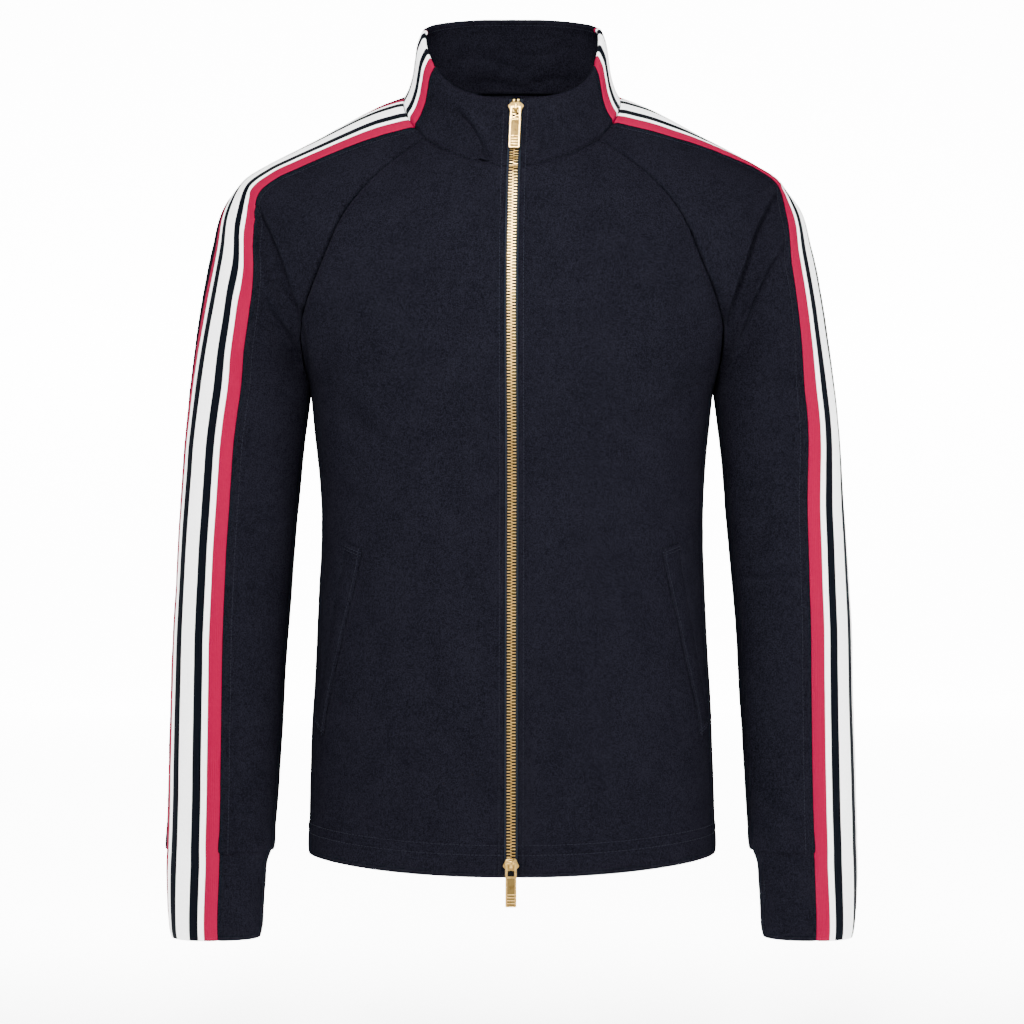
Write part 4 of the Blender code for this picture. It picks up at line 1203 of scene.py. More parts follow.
@dataclass
class Body:
    """The two fronts and the back, with their turned hem."""

    shop: Workshop
    step: float = 3.3
    zip_stitch: float = 3.4
    zip_groove: tuple[float, float] = (0.35, 1.1)
    hem_rows: tuple[float, float] = (18.0, 26.0)
    hem_groove: tuple[float, float] = (0.55, 1.4)
    hem_turned: float = 28.5
    hem_extra: float = 1.3
    hem_puff: float = 0.9
    hem_roll: float = 0.7
    hem_wave: float = 0.35
    hem_far: tuple[float, ...] = (
        0, 1.4, 3, 5.5, 9, 13, 16.4, 17.2, 18, 18.8, 19.6, 22, 24.4, 25.2, 26, 26.8, 27.8, 30, 33
    )
    front_cut: Cut = Cut(0.230, 0.620, 0.122)
    back_cut: Cut = Cut(0.420, 0.680, 0.258)

    def grid(self, name: str, lines: list[Floats], far: Sequence, seams: dict[Edge, Floats]) -> ClothGrid:
        """A fine panel through rows of the body.

        Args:
            name: the panel's name.
            lines: its control rows.
            far: its close columns at the rows' far ends.
            seams: the seams' lines that its edges lie on.

        Returns:
            The panel, smooth and uncreased.
        """
        shares = stations(np.mean([length_of(line) for line in lines]), self.step, BY_SEAM, far)
        controls = np.array([at_lengths(line, shares * length_of(line)) for line in lines])
        run = mean_run(controls)
        points = along(stations(run[-1], self.step, BY_SEAM, self.hem_far) * run[-1], run, controls)
        for edge, seam in seams.items():
            points = snap(points, edge, seam)
        return ClothGrid(name, points)

    def hem(self, grid: ClothGrid) -> Floats:
        """The turned hem: a soft roll, pressed in at its two coverstitch rows."""
        away = grid.from_edge(Edge.FOOT)
        puffed = self.hem_puff * (1 - level(self.hem_rows[1] - 1, self.hem_turned, away))
        rolled = -self.hem_roll * bump_at(away, 0, 3.5)
        waves = self.hem_wave * ripple(grid.points, 17, 3.1, (1, 1, 0.4)) * bump_at(away, 12, 14)
        grooves = sum(sunk_row(grid, Edge.FOOT, row, *self.hem_groove) for row in self.hem_rows)
        grid.thick += self.hem_extra * (1 - level(self.hem_turned - 1, self.hem_turned + 1, away))
        return puffed + rolled + waves + grooves

    def dress(self, grid: ClothGrid, edges: Sequence[Edge], face: Face) -> None:
        """Works a panel's creases, slight unevenness, seams, the top one first, and hem."""
        grid.move(unevenness(grid.points) + creased(grid, (face,), edges[1:]))
        heights = self.hem(grid)
        for number, edge in enumerate(edges):
            heights += (NECK_SEAM if edge is Edge.TOP else Seam()).heights(grid, edge, BODY_SEED + number)
        grid.move(heights)

    def hem_stitches(self, grid: ClothGrid) -> list[StitchRow]:
        """The two coverstitch rows of a panel's hem."""
        return [StitchRow(grid.line_beside(Edge.FOOT, row)) for row in self.hem_rows]

    def build(self) -> None:
        """Makes the fronts and the back."""
        for side in Side:
            seam = {Edge.FIRST: panel_seam(side, Face.FRONT)}
            front = self.grid(f"front_{side.hand}", front_lines(side), BY_ZIP, seam)
            self.dress(front, (Edge.TOP, Edge.FIRST), Face.FRONT)
            front.move(sunk_row(front, Edge.LAST, self.zip_stitch, *self.zip_groove))
            pocket = Pocket(self.shop, side)
            pocket.press(front)
            rows = self.hem_stitches(front) + [StitchRow(front.line_beside(Edge.LAST, self.zip_stitch))]
            self.shop.cloth(front, "navy_jersey", self.front_cut, [f"collar_front_{side.hand}"], rows)
            pocket.build()
        halves = [body_lines(side, Face.BACK) for side in Side]
        lines = [np.vstack([right, left[-2::-1]]) for right, left in zip(*halves)]
        seams = {edge: panel_seam(side, Face.BACK) for edge, side in zip((Edge.FIRST, Edge.LAST), Side)}
        back = self.grid("back", lines, BY_SEAM, seams)
        self.dress(back, (Edge.TOP, Edge.FIRST, Edge.LAST), Face.BACK)
        self.shop.cloth(back, "navy_jersey", self.back_cut, ["collar_back"], self.hem_stitches(back))


@dataclass
class Pocket:
    """One slanted welt pocket: the welt, sewn down along its front edge and its ends, over the mouth."""

    shop: Workshop
    side: Side
    top: float = -359.0
    foot: float = -512.0
    slant: tuple[float, float] = (4.5, 8.0)
    proud: float = 0.25
    thickness: float = 1.5
    # Each dip or swell beside the welt: its height, its place and its half width.
    mouth: Point = (-1.5, -0.5, 3.2)
    under: Point = (-0.5, 1.0, 2.0)
    bag: Point = (0.9, 0, 34)
    bag_ahead: float = 0.05
    rows: int = 54
    columns: int = 9
    stitch_rows: tuple[tuple[Edge, float], ...] = (
        (Edge.LAST, 2.0), (Edge.TOP, 2.0), (Edge.TOP, 4.6), (Edge.FOOT, 2.0), (Edge.FOOT, 4.6)
    )
    cut: Cut = Cut(0.022, 0.155, 0.0034)

    def shares(self, z: Floats) -> tuple[Floats, Floats]:
        """Where the welt's rear and front edges lie at heights, as shares of the row."""
        return tuple(along(z, POCKET_LINE["z"], POCKET_LINE[name]) for name in ("rear", "front"))

    def press(self, front: ClothGrid) -> None:
        """Draws the front's cloth in along the pocket's mouth, behind the welt's rear edge."""
        heights = front.points[:, :1, 2]
        rear, ahead = (share[:, None] for share in self.shares(heights[:, 0]))
        run = front.across[:, -1:]
        within = level(self.foot - 12, self.foot + 4, heights)
        within *= 1 - level(self.top - 4, self.top + 12, heights)
        moved = np.zeros_like(front.across)
        for line, (height, *bell) in (
            (rear, self.mouth), (ahead, self.under), (ahead + self.bag_ahead, self.bag)
        ):
            moved = moved + height * bump_at(front.across - line * run, *bell)
        front.move(moved * within)

    def build(self) -> None:
        """Makes the welt on the front that carries it."""
        front = self.shop.grids[f"front_{self.side.hand}"]
        raised = front.points + front.normals * (self.proud + self.thickness)
        columns = []
        for spot in np.linspace(0, 1, self.columns):
            heights = np.linspace(self.top, self.foot, self.rows)
            heights = heights - spot * np.linspace(*self.slant, self.rows)
            index = np.interp(-heights, -front.points[:, 0, 2], np.arange(len(front.points)))
            low = index.astype(int)
            share = (index - low)[:, None, None]
            lines = raised[low] * (1 - share) + raised[low + 1] * share
            columns.append([
                at_lengths(line, np.array([(first + (last - first) * spot) * length_of(line)]))[0]
                for line, first, last in zip(lines, *self.shares(heights))
            ])
        welt = ClothGrid(f"pocket_welt_{self.side.hand}", np.stack(columns, axis=1), None, self.thickness)
        welt.move(-0.5 * bump_at(welt.from_edge(Edge.LAST), 0, 3) + 0.25 * ripple(welt.points, 14, 5.5))
        rows = [StitchRow(welt.line_beside(edge, away)) for edge, away in self.stitch_rows]
        self.shop.cloth(welt, "navy_jersey", self.cut, [f"front_{self.side.hand}"], rows)


@dataclass
class Sleeve:
    """One raglan sleeve: its front and back, the stripe tape between them, and the cuff."""

    shop: Workshop
    side: Side
    step: float = 3.2
    front_step: float = 1.7
    cuff_step: float = 2.4
    topstitch: float = 8.0
    groove: tuple[float, float] = (0.35, 1.2)
    by_tape: tuple[float, ...] = (0, 0.8, 1.6, 2.8, 4.4, 6.4, 7.3, 8.0, 8.7, 10.5)
    tape_edge: tuple[float, ...] = (0, 1.8, 3.6)
    overhang: float = 0.9
    gathered: float = 0.7
    tucked: float = 1.3
    cuff_extra: float = 0.6
    slit_span: tuple[float, float] = (-646.0, -681.0)
    slit_from_seam: tuple[float, float] = (14.0, 6.5)
    by_slit: tuple[float, ...] = (-6.0, -3.4, -1.6, -0.5, 0.5, 1.6, 3.4, 6.0)
    slit_pitch: float = 2.4
    slit_stitch: float = 1.9
    front_cut: Cut = Cut(0.115, 0.690, 0.055)
    back_cut: Cut = Cut(0.158, 0.690, 0.093)
    stripe_cut: Cut = Cut(0.062, 0.810, 0.0500)
    cuff_cut: Cut = Cut(0.185, 0.080, 0.0144)

    def __post_init__(self) -> None:
        """Sets out the sleeve's sections and their runs."""
        sleeve = sleeve_sections()
        self.cuff_seam = len(sleeve) - 1
        self.sections = [line * self.side.mirror for line in sleeve + rings_of(CUFF)[1:]]
        even = np.array([evenly(line, 25) for line in self.sections])
        self.run, self.centres = mean_run(even), even.mean(axis=1)

    def tape_span(self, section: int) -> tuple[float, float]:
        """How far round a section the tape starts and ends."""
        line = self.sections[section]
        ahead = along(section, STRIPE_AHEAD["section"], STRIPE_AHEAD[self.side.hand])[0]
        start = runs(line)[len(line) // 2] - ahead
        return start, start + TAPE_WIDTH

    def grid(self, name: str, controls: Sequence, first: int, rows: Callable, last: int = -1) -> ClothGrid:
        """A fine panel, smooth and uncreased.

        Args:
            name: the panel's name.
            controls: its points on every section.
            first: the section that it starts at.
            rows: gives its rows for its length, as shares.
            last: the section that it ends at.

        Returns:
            The panel.
        """
        start, length = self.run[first], self.run[last] - self.run[first]
        places = start + rows(length) * length
        points = along(places, self.run, np.array(controls))
        return ClothGrid(name, points, along(places, self.run, self.centres)[:, None] * np.ones_like(points))

    def part(
        self, kind: str, stops: Callable, last: int, sides: Sequence, ends: Sequence, step: float
    ) -> ClothGrid:
        """A panel from the neck down, between two distances round each section.

        Args:
            kind: what it is called, without its side.
            stops: gives the two distances for a section and its length.
            last: the section at its foot.
            sides: its close columns at each distance.
            ends: its close rows at the top and the foot.
            step: its spacing.

        Returns:
            The panel.
        """
        spans = [stops(k, length_of(line)) for k, line in enumerate(self.sections)]
        width = float(np.mean([end - start for start, end in spans[: last + 1]]))
        count = len(stations(width, step, *sides))
        controls = []
        for line, (start, end) in zip(self.sections, spans):
            shares = stations(end - start, (end - start) / count, *sides)
            shares = np.interp(np.linspace(0, 1, count), np.linspace(0, 1, len(shares)), shares)
            controls.append(at_lengths(line, start + shares * (end - start)))
        name = f"{kind}_{self.side.hand}"
        return self.grid(name, controls, 0, lambda run: stations(run, step, *ends), last)

    def worn(self, grid: ClothGrid, held: Sequence[Edge], sewn: Sequence[Edge]) -> ClothGrid:
        """Sinks the deep folds towards the sleeve's middle, and works in the creases and slight unevenness.

        Args:
            grid: the panel.
            held: its edges that the folds stay clear of.
            sewn: its edges where the creases end.

        Returns:
            The worked panel.
        """
        share = np.ones(grid.points.shape[:2])
        for edge in held:
            share *= level(*FOLD_CLEAR, grid.from_edge(edge))
        sunk = sum(fold.depths(grid.points) for fold in FOLDS[self.side]) * share
        points = grid.points + unit(grid.core - grid.points) * sunk[..., None]
        grid = ClothGrid(grid.name, points, grid.core)
        grid.move(unevenness(grid.points) + creased(grid, tuple(Face), sewn))
        return grid

    def cloth_half(self, front: bool) -> None:
        """Makes the sleeve's front or back."""
        ends = (BY_NECK, (0, 2.0, 4.0, 7.0, 11.0))
        if front:
            face, seam, tape, cut = Face.FRONT, Edge.FIRST, Edge.LAST, self.front_cut
            kind, sides, step = "sleeve_front", (BY_SEAM, self.by_tape), self.front_step
        else:
            face, seam, tape, cut = Face.BACK, Edge.LAST, Edge.FIRST, self.back_cut
            kind, sides, step = "sleeve_back", (self.by_tape, BY_SEAM), self.step

        def stops(section: int, run: float) -> tuple[float, float]:
            """Where this half starts and ends round a section."""
            start, end = self.tape_span(section)
            return (0, start) if front else (end, run)

        grid = self.part(kind, stops, self.cuff_seam, sides, ends, step)
        underarm = np.stack([SLEEVE["inner"] * self.side.value, SLEEVE["middle"], SLEEVE["z"]], axis=1)
        raglan = raglan_seam(self.side, face)
        path = np.vstack([raglan, smooth_line(np.vstack([raglan[-1:], underarm]))[1:]])
        grid = ClothGrid(grid.name, snap(grid.points, seam, path), grid.core)
        grid = self.worn(grid, (seam,), (tape, seam))
        heights = Seam().heights(grid, seam, RAGLAN_SEED) + TAPE_SEAM.heights(grid, tape, TAPE_SEED)
        heights += TAPE_SEAM.heights(grid, Edge.TOP, NECK_SEED)
        heights += sunk_row(grid, tape, self.topstitch, *self.groove)
        away = grid.from_edge(Edge.FOOT)
        gathers = ripple(grid.points, 15, 6.1, (1, 1, 0.2)) * bump_at(away, 8, 22)
        grid.move(heights + self.overhang * bump_at(away, 5, 9) + self.gathered * gathers)
        rows = [StitchRow(grid.line_beside(tape, self.topstitch))]
        self.shop.cloth(grid, "navy_jersey", cut, [f"collar_stripe_{self.side.hand}"], rows)

    def stripe(self) -> None:
        """Makes the stripe tape, from the neck's seam to the cuff's end."""
        sides, ends = (self.tape_edge, self.tape_edge), (ENDS, (0, 1.5, 3.0, 5.0))
        last = len(self.sections) - 1
        grid = self.part("sleeve_stripe", lambda k, _: self.tape_span(k), last, sides, ends, self.step)
        grid = self.worn(grid, (), SIDES_OF_TAPE)
        heights = sum(TAPE_EDGE.heights(grid, edge, TAPE_SEED) for edge in SIDES_OF_TAPE)
        grid.move(heights + TAPE_TOP.heights(grid, Edge.TOP, NECK_SEED) + turned_in(grid))
        rests = [f"sleeve_front_{self.side.hand}", f"sleeve_back_{self.side.hand}"]
        self.shop.cloth(grid, "stripe_tape", self.stripe_cut, rests)

    def cuff(self) -> None:
        """Makes the cuff, round from the tape's rear edge to its front edge, with its thumb slit."""
        controls = []
        for k, line in enumerate(self.sections):
            total = length_of(line)
            end, start = self.tape_span(k)
            before = max(total - start, 1.0)
            # How far from the underarm seam the slit lies at this height.
            slit = float(np.interp(line[0, 2], self.slit_span[::-1], self.slit_from_seam[::-1]))
            beside = before + self.side.value * slit + np.array(self.by_slit)
            left = np.linspace(0, beside[0], 24)[:-1]
            right = np.linspace(beside[-1], before + end, 24)[1:]
            left[1], right[-2] = 2.2, before + end - 2.2
            halves = [at_lengths(line, np.linspace(*span, 160)) for span in ((start, total), (0, end))]
            round_line = np.vstack([halves[0], halves[1][1:]])
            controls.append(at_lengths(round_line, np.concatenate([left, beside, right])))
        rows = ((0, 2.0, 4.0), (0, 1.2, 2.6, 4.4))
        name = f"cuff_{self.side.hand}"
        grid = self.grid(name, controls, self.cuff_seam, lambda run: stations(run, self.cuff_step, *rows))
        slit = len(left) + len(self.by_slit) // 2 - 1
        heights = grid.points[:-1, slit, 2]
        top, foot = self.slit_span
        grid.open_cells = {(row, slit) for row, height in enumerate(heights) if top > height > foot}
        moves = -self.tucked * bump_at(grid.from_edge(Edge.TOP), 0, 5)
        moves += 0.35 * ripple(grid.points, 16, 9.1, (1, 1, 0.4))
        moves += sum(TAPE_EDGE.heights(grid, edge, TAPE_SEED) for edge in SIDES_OF_TAPE)
        grid.move(moves + turned_in(grid))
        grid.thick += self.cuff_extra
        rows = self.slit_stitches(grid, slit)
        self.shop.cloth(grid, "navy_jersey", self.cuff_cut, [f"sleeve_front_{self.side.hand}"], rows)

    def slit_stitches(self, grid: ClothGrid, slit: int) -> list[StitchRow]:
        """The rows beside the thumb slit and the bartacks at its two ends."""
        raised = grid.points + grid.normals * 0.15
        first, last = min(grid.open_cells)[0], max(grid.open_cells)[0] + 1
        lines = [raised[first : last + 1, column] for column in (slit - 2, slit + 3)]
        lines += [raised[row, slit - 2 : slit + 4] for row in (first - 1, first, last, last + 1)]
        return [StitchRow(line, self.slit_pitch, self.slit_stitch) for line in lines]

    def build(self) -> None:
        """Makes the whole sleeve."""
        self.cloth_half(front=True)
        self.cloth_half(front=False)
        self.stripe()
        self.cuff()


@dataclass
class Collar:
    """The stand collar: two fronts, two ends of stripe tape, the back, and the facing inside."""

    shop: Workshop
    step: float = 2.2
    roll_radius: float = 2.2
    roll_turns: tuple[int, ...] = (30, 60, 90, 120, 150, 180)
    roll_tail: tuple[float, ...] = (0.5, 0.9)
    facing_below: float = 1.2
    facing_inset: float = 2.8
    facing_cloth: float = 1.5
    facing_from_seam: int = 4
    facing_stitch: float = 1.3
    facing_clear: tuple[float, float] = (0, 9)
    zip_stitch: float = 3.4
    zip_reach: float = 32.0
    front_cut: Cut = Cut(0.105, 0.080, 0.0058)
    stripe_cut: Cut = Cut(0.062, 0.070, 0.0034)
    back_cut: Cut = Cut(0.200, 0.080, 0.0150)
    facing_cut: Cut = Cut(0.420, 0.065, 0.0250)

    @property
    def rolled_rows(self) -> int:
        """How many rows the rolled top adds to a panel."""
        return len(self.roll_turns) + len(self.roll_tail)

    def rows_of(self, seam: Floats, side: Side) -> Floats:
        """The collar's points above chosen places of the neck's seam, up to where the top starts to roll."""
        below = np.degrees(np.arctan2(np.abs(seam[:, 0]), -(seam[:, 1] - NECK_CENTRE_Y)))
        angle = along(below, COLLAR_LEAN["seam"], COLLAR_LEAN[side.hand])
        turn = np.radians(angle)
        x = side.value * COLLAR_TOP_HALF_WIDTH * np.sin(turn)
        y = NECK_CENTRE_Y - COLLAR_TOP_DEPTH * np.cos(turn)
        top = np.stack([x, y, along(angle, COLLAR_TOP["angle"], COLLAR_TOP[side.hand])], axis=1)
        tall, rolls = float(np.linalg.norm(top - seam, axis=1).mean()), self.roll_radius - 0.4
        heights = stations(tall, self.step, BY_NECK, (rolls, 4.5, 7.0))
        heights = heights * (1 - rolls / tall) / heights[-1]
        inward = along(heights, COLLAR_RISE["height"], COLLAR_RISE["inward"])
        return seam[None] + (top - seam)[None] * np.stack([inward, inward, heights], axis=1)[:, None]

    def half(self, side: Side) -> tuple[Floats, tuple[int, int]]:
        """Half the collar as one grid, from the zip to the middle of the back.

        Args:
            side: the wearer's side.

        Returns:
            The points, and the columns where the tape starts and ends.
        """
        front = front_lines(side)[0][::-1]
        sleeve = sleeve_sections()[0] * side.mirror
        line = np.vstack([front, sleeve[1:], body_lines(side, Face.BACK)[0][1:]])
        start = length_of(front) + Sleeve(self.shop, side).tape_span(0)[0]
        stops = (0, start, start + TAPE_WIDTH, length_of(line))
        ends = ((BY_ZIP, BY_NECK), (BY_NECK, BY_NECK), (BY_NECK, (0,)))
        spans = [
            first + stations(last - first, self.step, *near) * (last - first)
            for first, last, near in zip(stops, stops[1:], ends)
        ]
        away = np.concatenate([spans[0], spans[1][1:], spans[2][1:]])
        points = self.rows_of(at_lengths(line, away), side)
        shift = zip_middle(points[:, 0, 2]) + side.value * ZIP_HALF_OPENING - points[:, 0, 0]
        points[..., 0] += shift[:, None] * (np.clip(1 - away / self.zip_reach, 0, 1) ** 2)[None]
        return points, (len(spans[0]) - 1, len(spans[0]) + len(spans[1]) - 2)

    def rolled(self, grid: ClothGrid) -> ClothGrid:
        """The panel with its top edge rolled over and turned down inside."""
        top, normal = grid.points[-1], grid.normals[-1]
        rise = top - grid.points[-2]
        rise = unit(rise - (rise * normal).sum(axis=1, keepdims=True) * normal)
        rows = [
            top + self.roll_radius * (rise * np.sin(turn) - normal * (1 - np.cos(turn)))
            for turn in np.radians(self.roll_turns)
        ]
        rows += [rows[-1] - rise * tail for tail in self.roll_tail]
        points = np.concatenate([grid.points, np.array(rows)])
        rolled = ClothGrid(grid.name, points, body_core(points, NECK_CENTRE_Y))
        out = np.array(rows) - (top - self.roll_radius * normal)[None]
        tail = len(self.roll_turns)
        out[tail:] -= (out[tail:] * rise).sum(axis=2, keepdims=True) * rise
        rolled.normals = np.concatenate([grid.normals, unit(out)])
        return rolled

    def panel(self, name: str, points: Floats, edges: Sequence[Edge]) -> ClothGrid:
        """A panel of the collar's outer cloth from its points, creased, sewn at its edges and rolled."""
        grid = ClothGrid(name, points, body_core(points, NECK_CENTRE_Y))
        heights = unevenness(points) + NECK_SEAM.heights(grid, Edge.TOP, COLLAR_SEED)
        heights += sum(crease.heights(points, grid.normals) for crease in COLLAR_CREASES)
        for edge in edges:
            heights += TAPE_SEAM.heights(grid, edge, TAPE_SEED)
        grid.move(heights)
        return self.rolled(grid)

    def facing(self, points: Floats) -> None:
        """Makes the collar's inner layer, behind the outer points, which shows inside the neck."""
        whole = ClothGrid("collar_facing", points, body_core(points, NECK_CENTRE_Y))
        inner = (points - whole.normals * self.facing_inset)[self.facing_from_seam :]
        inner[-1] -= unit(inner[-1] - inner[-2]) * self.facing_below
        grid = ClothGrid("collar_facing", inner, body_core(inner, NECK_CENTRE_Y), self.facing_cloth)
        heights = 0.5 * ripple(inner, 34, 9.4, (1, 1, 1.6)) + 0.25 * ripple(inner, 13, 2.8)
        heights -= sum(wrinkle.heights(inner, -grid.normals) for wrinkle in FACING_WRINKLES)
        for edge in (Edge.FOOT, Edge.TOP):
            heights = heights * level(*self.facing_clear, grid.from_edge(edge))
        grid.move(heights)
        line = grid.line_beside(Edge.FOOT, self.facing_stitch, -self.facing_cloth - 0.05)
        self.shop.cloth(grid, "navy_jersey", self.facing_cut, ["collar_back"], [StitchRow(line)])

    def build(self) -> None:
        """Makes the whole collar."""
        halves = {}
        for side in Side:
            points, (start, end) = halves[side] = self.half(side)
            front = self.panel(f"collar_front_{side.hand}", points[:, : start + 1], (Edge.LAST,))
            rows = [StitchRow(front.line_beside(Edge.FIRST, self.zip_stitch)[: len(points) - 1])]
            self.shop.cloth(front, "navy_jersey", self.front_cut, [f"front_{side.hand}"], rows)
            stripe = self.panel(f"collar_stripe_{side.hand}", points[:, start : end + 1], SIDES_OF_TAPE)
            self.shop.cloth(stripe, "stripe_tape", self.stripe_cut, [f"sleeve_stripe_{side.hand}"])
        right, left = halves[Side.RIGHT][0], halves[Side.LEFT][0]
        points = np.concatenate([right[:, end:], left[:, -2 : end - 1 : -1]], axis=1)
        back = self.panel("collar_back", points, SIDES_OF_TAPE)
        self.shop.cloth(back, "navy_jersey", self.back_cut, ["back"])
        self.facing(np.concatenate([right, left[:, -2::-1]], axis=1))


COLLAR_CREASES = creases(
    Face.FRONT,
    (((-50, 6), (-40, -4), (-32, -16), (-25, -30), (-20, -41)), 4.6, 8, 0.4, -1, 0.35),
    (((-32, -27), (-22, -37), (-12, -34)), 3.6, 3.6, 0.5, -1, 0.6),
    (((22, 2), (29, -14), (24, -38)), 2.8, 7, 0.5, 1, 0.5),
    (((34, -2), (46, -18), (44, -34)), 1.1, 6.5, 0.5, -1),
    (((-70, 20), (-58, 0), (-50, -20)), 1.1, 6.5, 0.5, 1),
) + creases(
    Face.BACK,
    (((-58, 66), (-20, 58), (16, 64)), 1.4, 7, 0.6, 1),
    (((-10, 48), (30, 44), (62, 52)), 1.2, 6, 0.6, -1),
)
# The facing's wrinkles show on its inner side, which faces the front.
FACING_WRINKLES = creases(
    Face.FRONT,
    (((-66, 56), (-30, 66), (6, 58), (30, 62)), 1.6, 4.2, 0.7, 1),
    (((-12, 74), (24, 68), (58, 76)), 1.4, 4, 0.7, 1),
    (((-50, 38), (-22, 46), (10, 40), (36, 48), (60, 44)), 1.7, 4.4, 0.7, -1),
    (((-40, 24), (-8, 30), (28, 24)), 1.5, 4, 0.7, 1),
    (((14, 50), (34, 34), (50, 30)), 1.5, 3.6, 0.7, 1),
    (((-60, 80), (-44, 62), (-48, 44)), 1.2, 4.6, 0.6, -1),
)


# ------------------------------------------------------------------ zip


class ZipLine:
    """The middle of the zip, from the collar's top edge to the hem, on the cloth's outer face."""

    def __init__(self, collar: Floats, front: ClothGrid) -> None:
        """Takes the line from the cloth beside it: the collar's rows above the seam, and the front."""
        line = np.vstack([collar[::-1, 0], front.points[1:, -1]])
        line[:, 0] = zip_middle(line[:, 2])
        self.line = evenly(line, 320)
        self.out = unit(np.cross(np.gradient(self.line, axis=0), [1, 0, 0]))

    def frame(self, middle: float, reach: float = 6.0) -> Floats:
        """The axes of the straight piece round a distance: across, up along the zip, outwards."""
        low, high = at_lengths(self.line, np.array([middle + reach, middle - reach]))
        up = unit(high - low)
        return np.array([[1, 0, 0], up, unit(np.cross([1, 0, 0], up))])


def rounded(corners: Outline, radius: float, steps: int) -> Outline:
    """A closed outline with its corners rounded.

    Args:
        corners: the sharp corners, in order.
        radius: the rounding's radius.
        steps: points less one to each corner.

    Returns:
        The outline's points.
    """
    outline = []
    for k, corner in enumerate(corners):
        here = np.array(corner, float)
        before, after = (np.array(corners[(k + d) % len(corners)], float) - here for d in (-1, 1))
        reach = min(radius, np.linalg.norm(before) / 2, np.linalg.norm(after) / 2)
        start, end = here + unit(before) * reach, here + unit(after) * reach
        for share in np.linspace(0, 1, steps + 1):
            point = (1 - share) ** 2 * start + 2 * share * (1 - share) * here + share**2 * end
            outline.append(tuple(point))
    return outline


def box(across: float, high: float, low: float, radius: float, steps: int = 6, middle=0.0) -> Outline:
    """A rounded rectangle between two heights."""
    right, left = middle + across, middle - across
    return rounded([(right, high), (left, high), (left, low), (right, low)], radius, steps)


def inset(outline: Floats, distance: float) -> Floats:
    """A closed outline drawn in by a small distance; outlines run anticlockwise."""
    heading = unit(np.roll(outline, -1, axis=0) - np.roll(outline, 1, axis=0))
    return outline + np.stack([-heading[:, 1], heading[:, 0]], axis=1) * distance


class MetalForm:
    """Closed metal shapes gathered in a local frame: across, along the zip, outwards."""

    BEVEL_TURNS = (0, 30, 60, 90)

    def __init__(self) -> None:
        """Starts with nothing."""
        self.points: list[Point] = []
        self.faces: list[tuple[int, ...]] = []
        self.matt: list[float] = []

    def slab(
        self, outline: Outline, low: float, high: float, bevel: float,
        hole: Outline | None = None, order: Sequence[int] = (0, 1, 2), matt: float = 0.0,
    ) -> None:
        """Adds a plate with rounded edges, with or without a hole.

        Args:
            outline: its outline, anticlockwise.
            low: the level of its underside.
            high: the level of its top.
            bevel: the rounding of its edges.
            hole: an outline of as many points, anticlockwise.
            order: which axes the outline's two directions and the level become.
            matt: how much duller and darker the plate is, from 0 for a bright one to 1.
        """
        rings = [
            (bevel * (1 - math.sin(turn)), side + sign * bevel * (1 - math.cos(turn)))
            for side, sign, turns in ((low, 1, self.BEVEL_TURNS), (high, -1, self.BEVEL_TURNS[::-1]))
            for turn in np.radians(turns)
        ]
        start, count, levels = len(self.points), len(outline), len(rings)
        for loop, sign in ((outline, 1), (hole, -1)):
            for drawn, height in rings if loop is not None else ():
                for x, y in inset(np.array(loop, float), sign * drawn):
                    values = (x, y, height)
                    self.points.append(tuple(values[order.index(axis)] for axis in range(3)))
            if loop is not None:
                self.faces += walls(count, levels, start if sign > 0 else start + levels * count)
        for ring in (start, start + (levels - 1) * count):
            if hole is None:
                self.faces.append(tuple(range(ring, ring + count)))
                continue
            for k in range(count):
                a, b = ring + k, ring + (k + 1) % count
                self.faces.append((a, b, b + levels * count, a + levels * count))
        self.matt += [matt] * (len(self.faces) - len(self.matt))

    def mesh(self, name: str, origin: Floats, axes: Floats, material: Material) -> bpy.types.Mesh:
        """The shapes as one mesh, placed by an origin in millimetres and three axes."""
        mesh = new_mesh(name, origin + np.array(self.points) @ axes, self.faces, material)
        shaped = bmesh.new()
        shaped.from_mesh(mesh)
        bmesh.ops.recalc_face_normals(shaped, faces=shaped.faces)
        shaped.to_mesh(mesh)
        shaped.free()
        mesh.set_sharp_from_angle(angle=math.radians(40))
        marked = mesh.attributes.new("matt", "FLOAT", "FACE")
        marked.data.foreach_set("value", self.matt + [0.0] * (len(self.faces) - len(self.matt)))
        return mesh


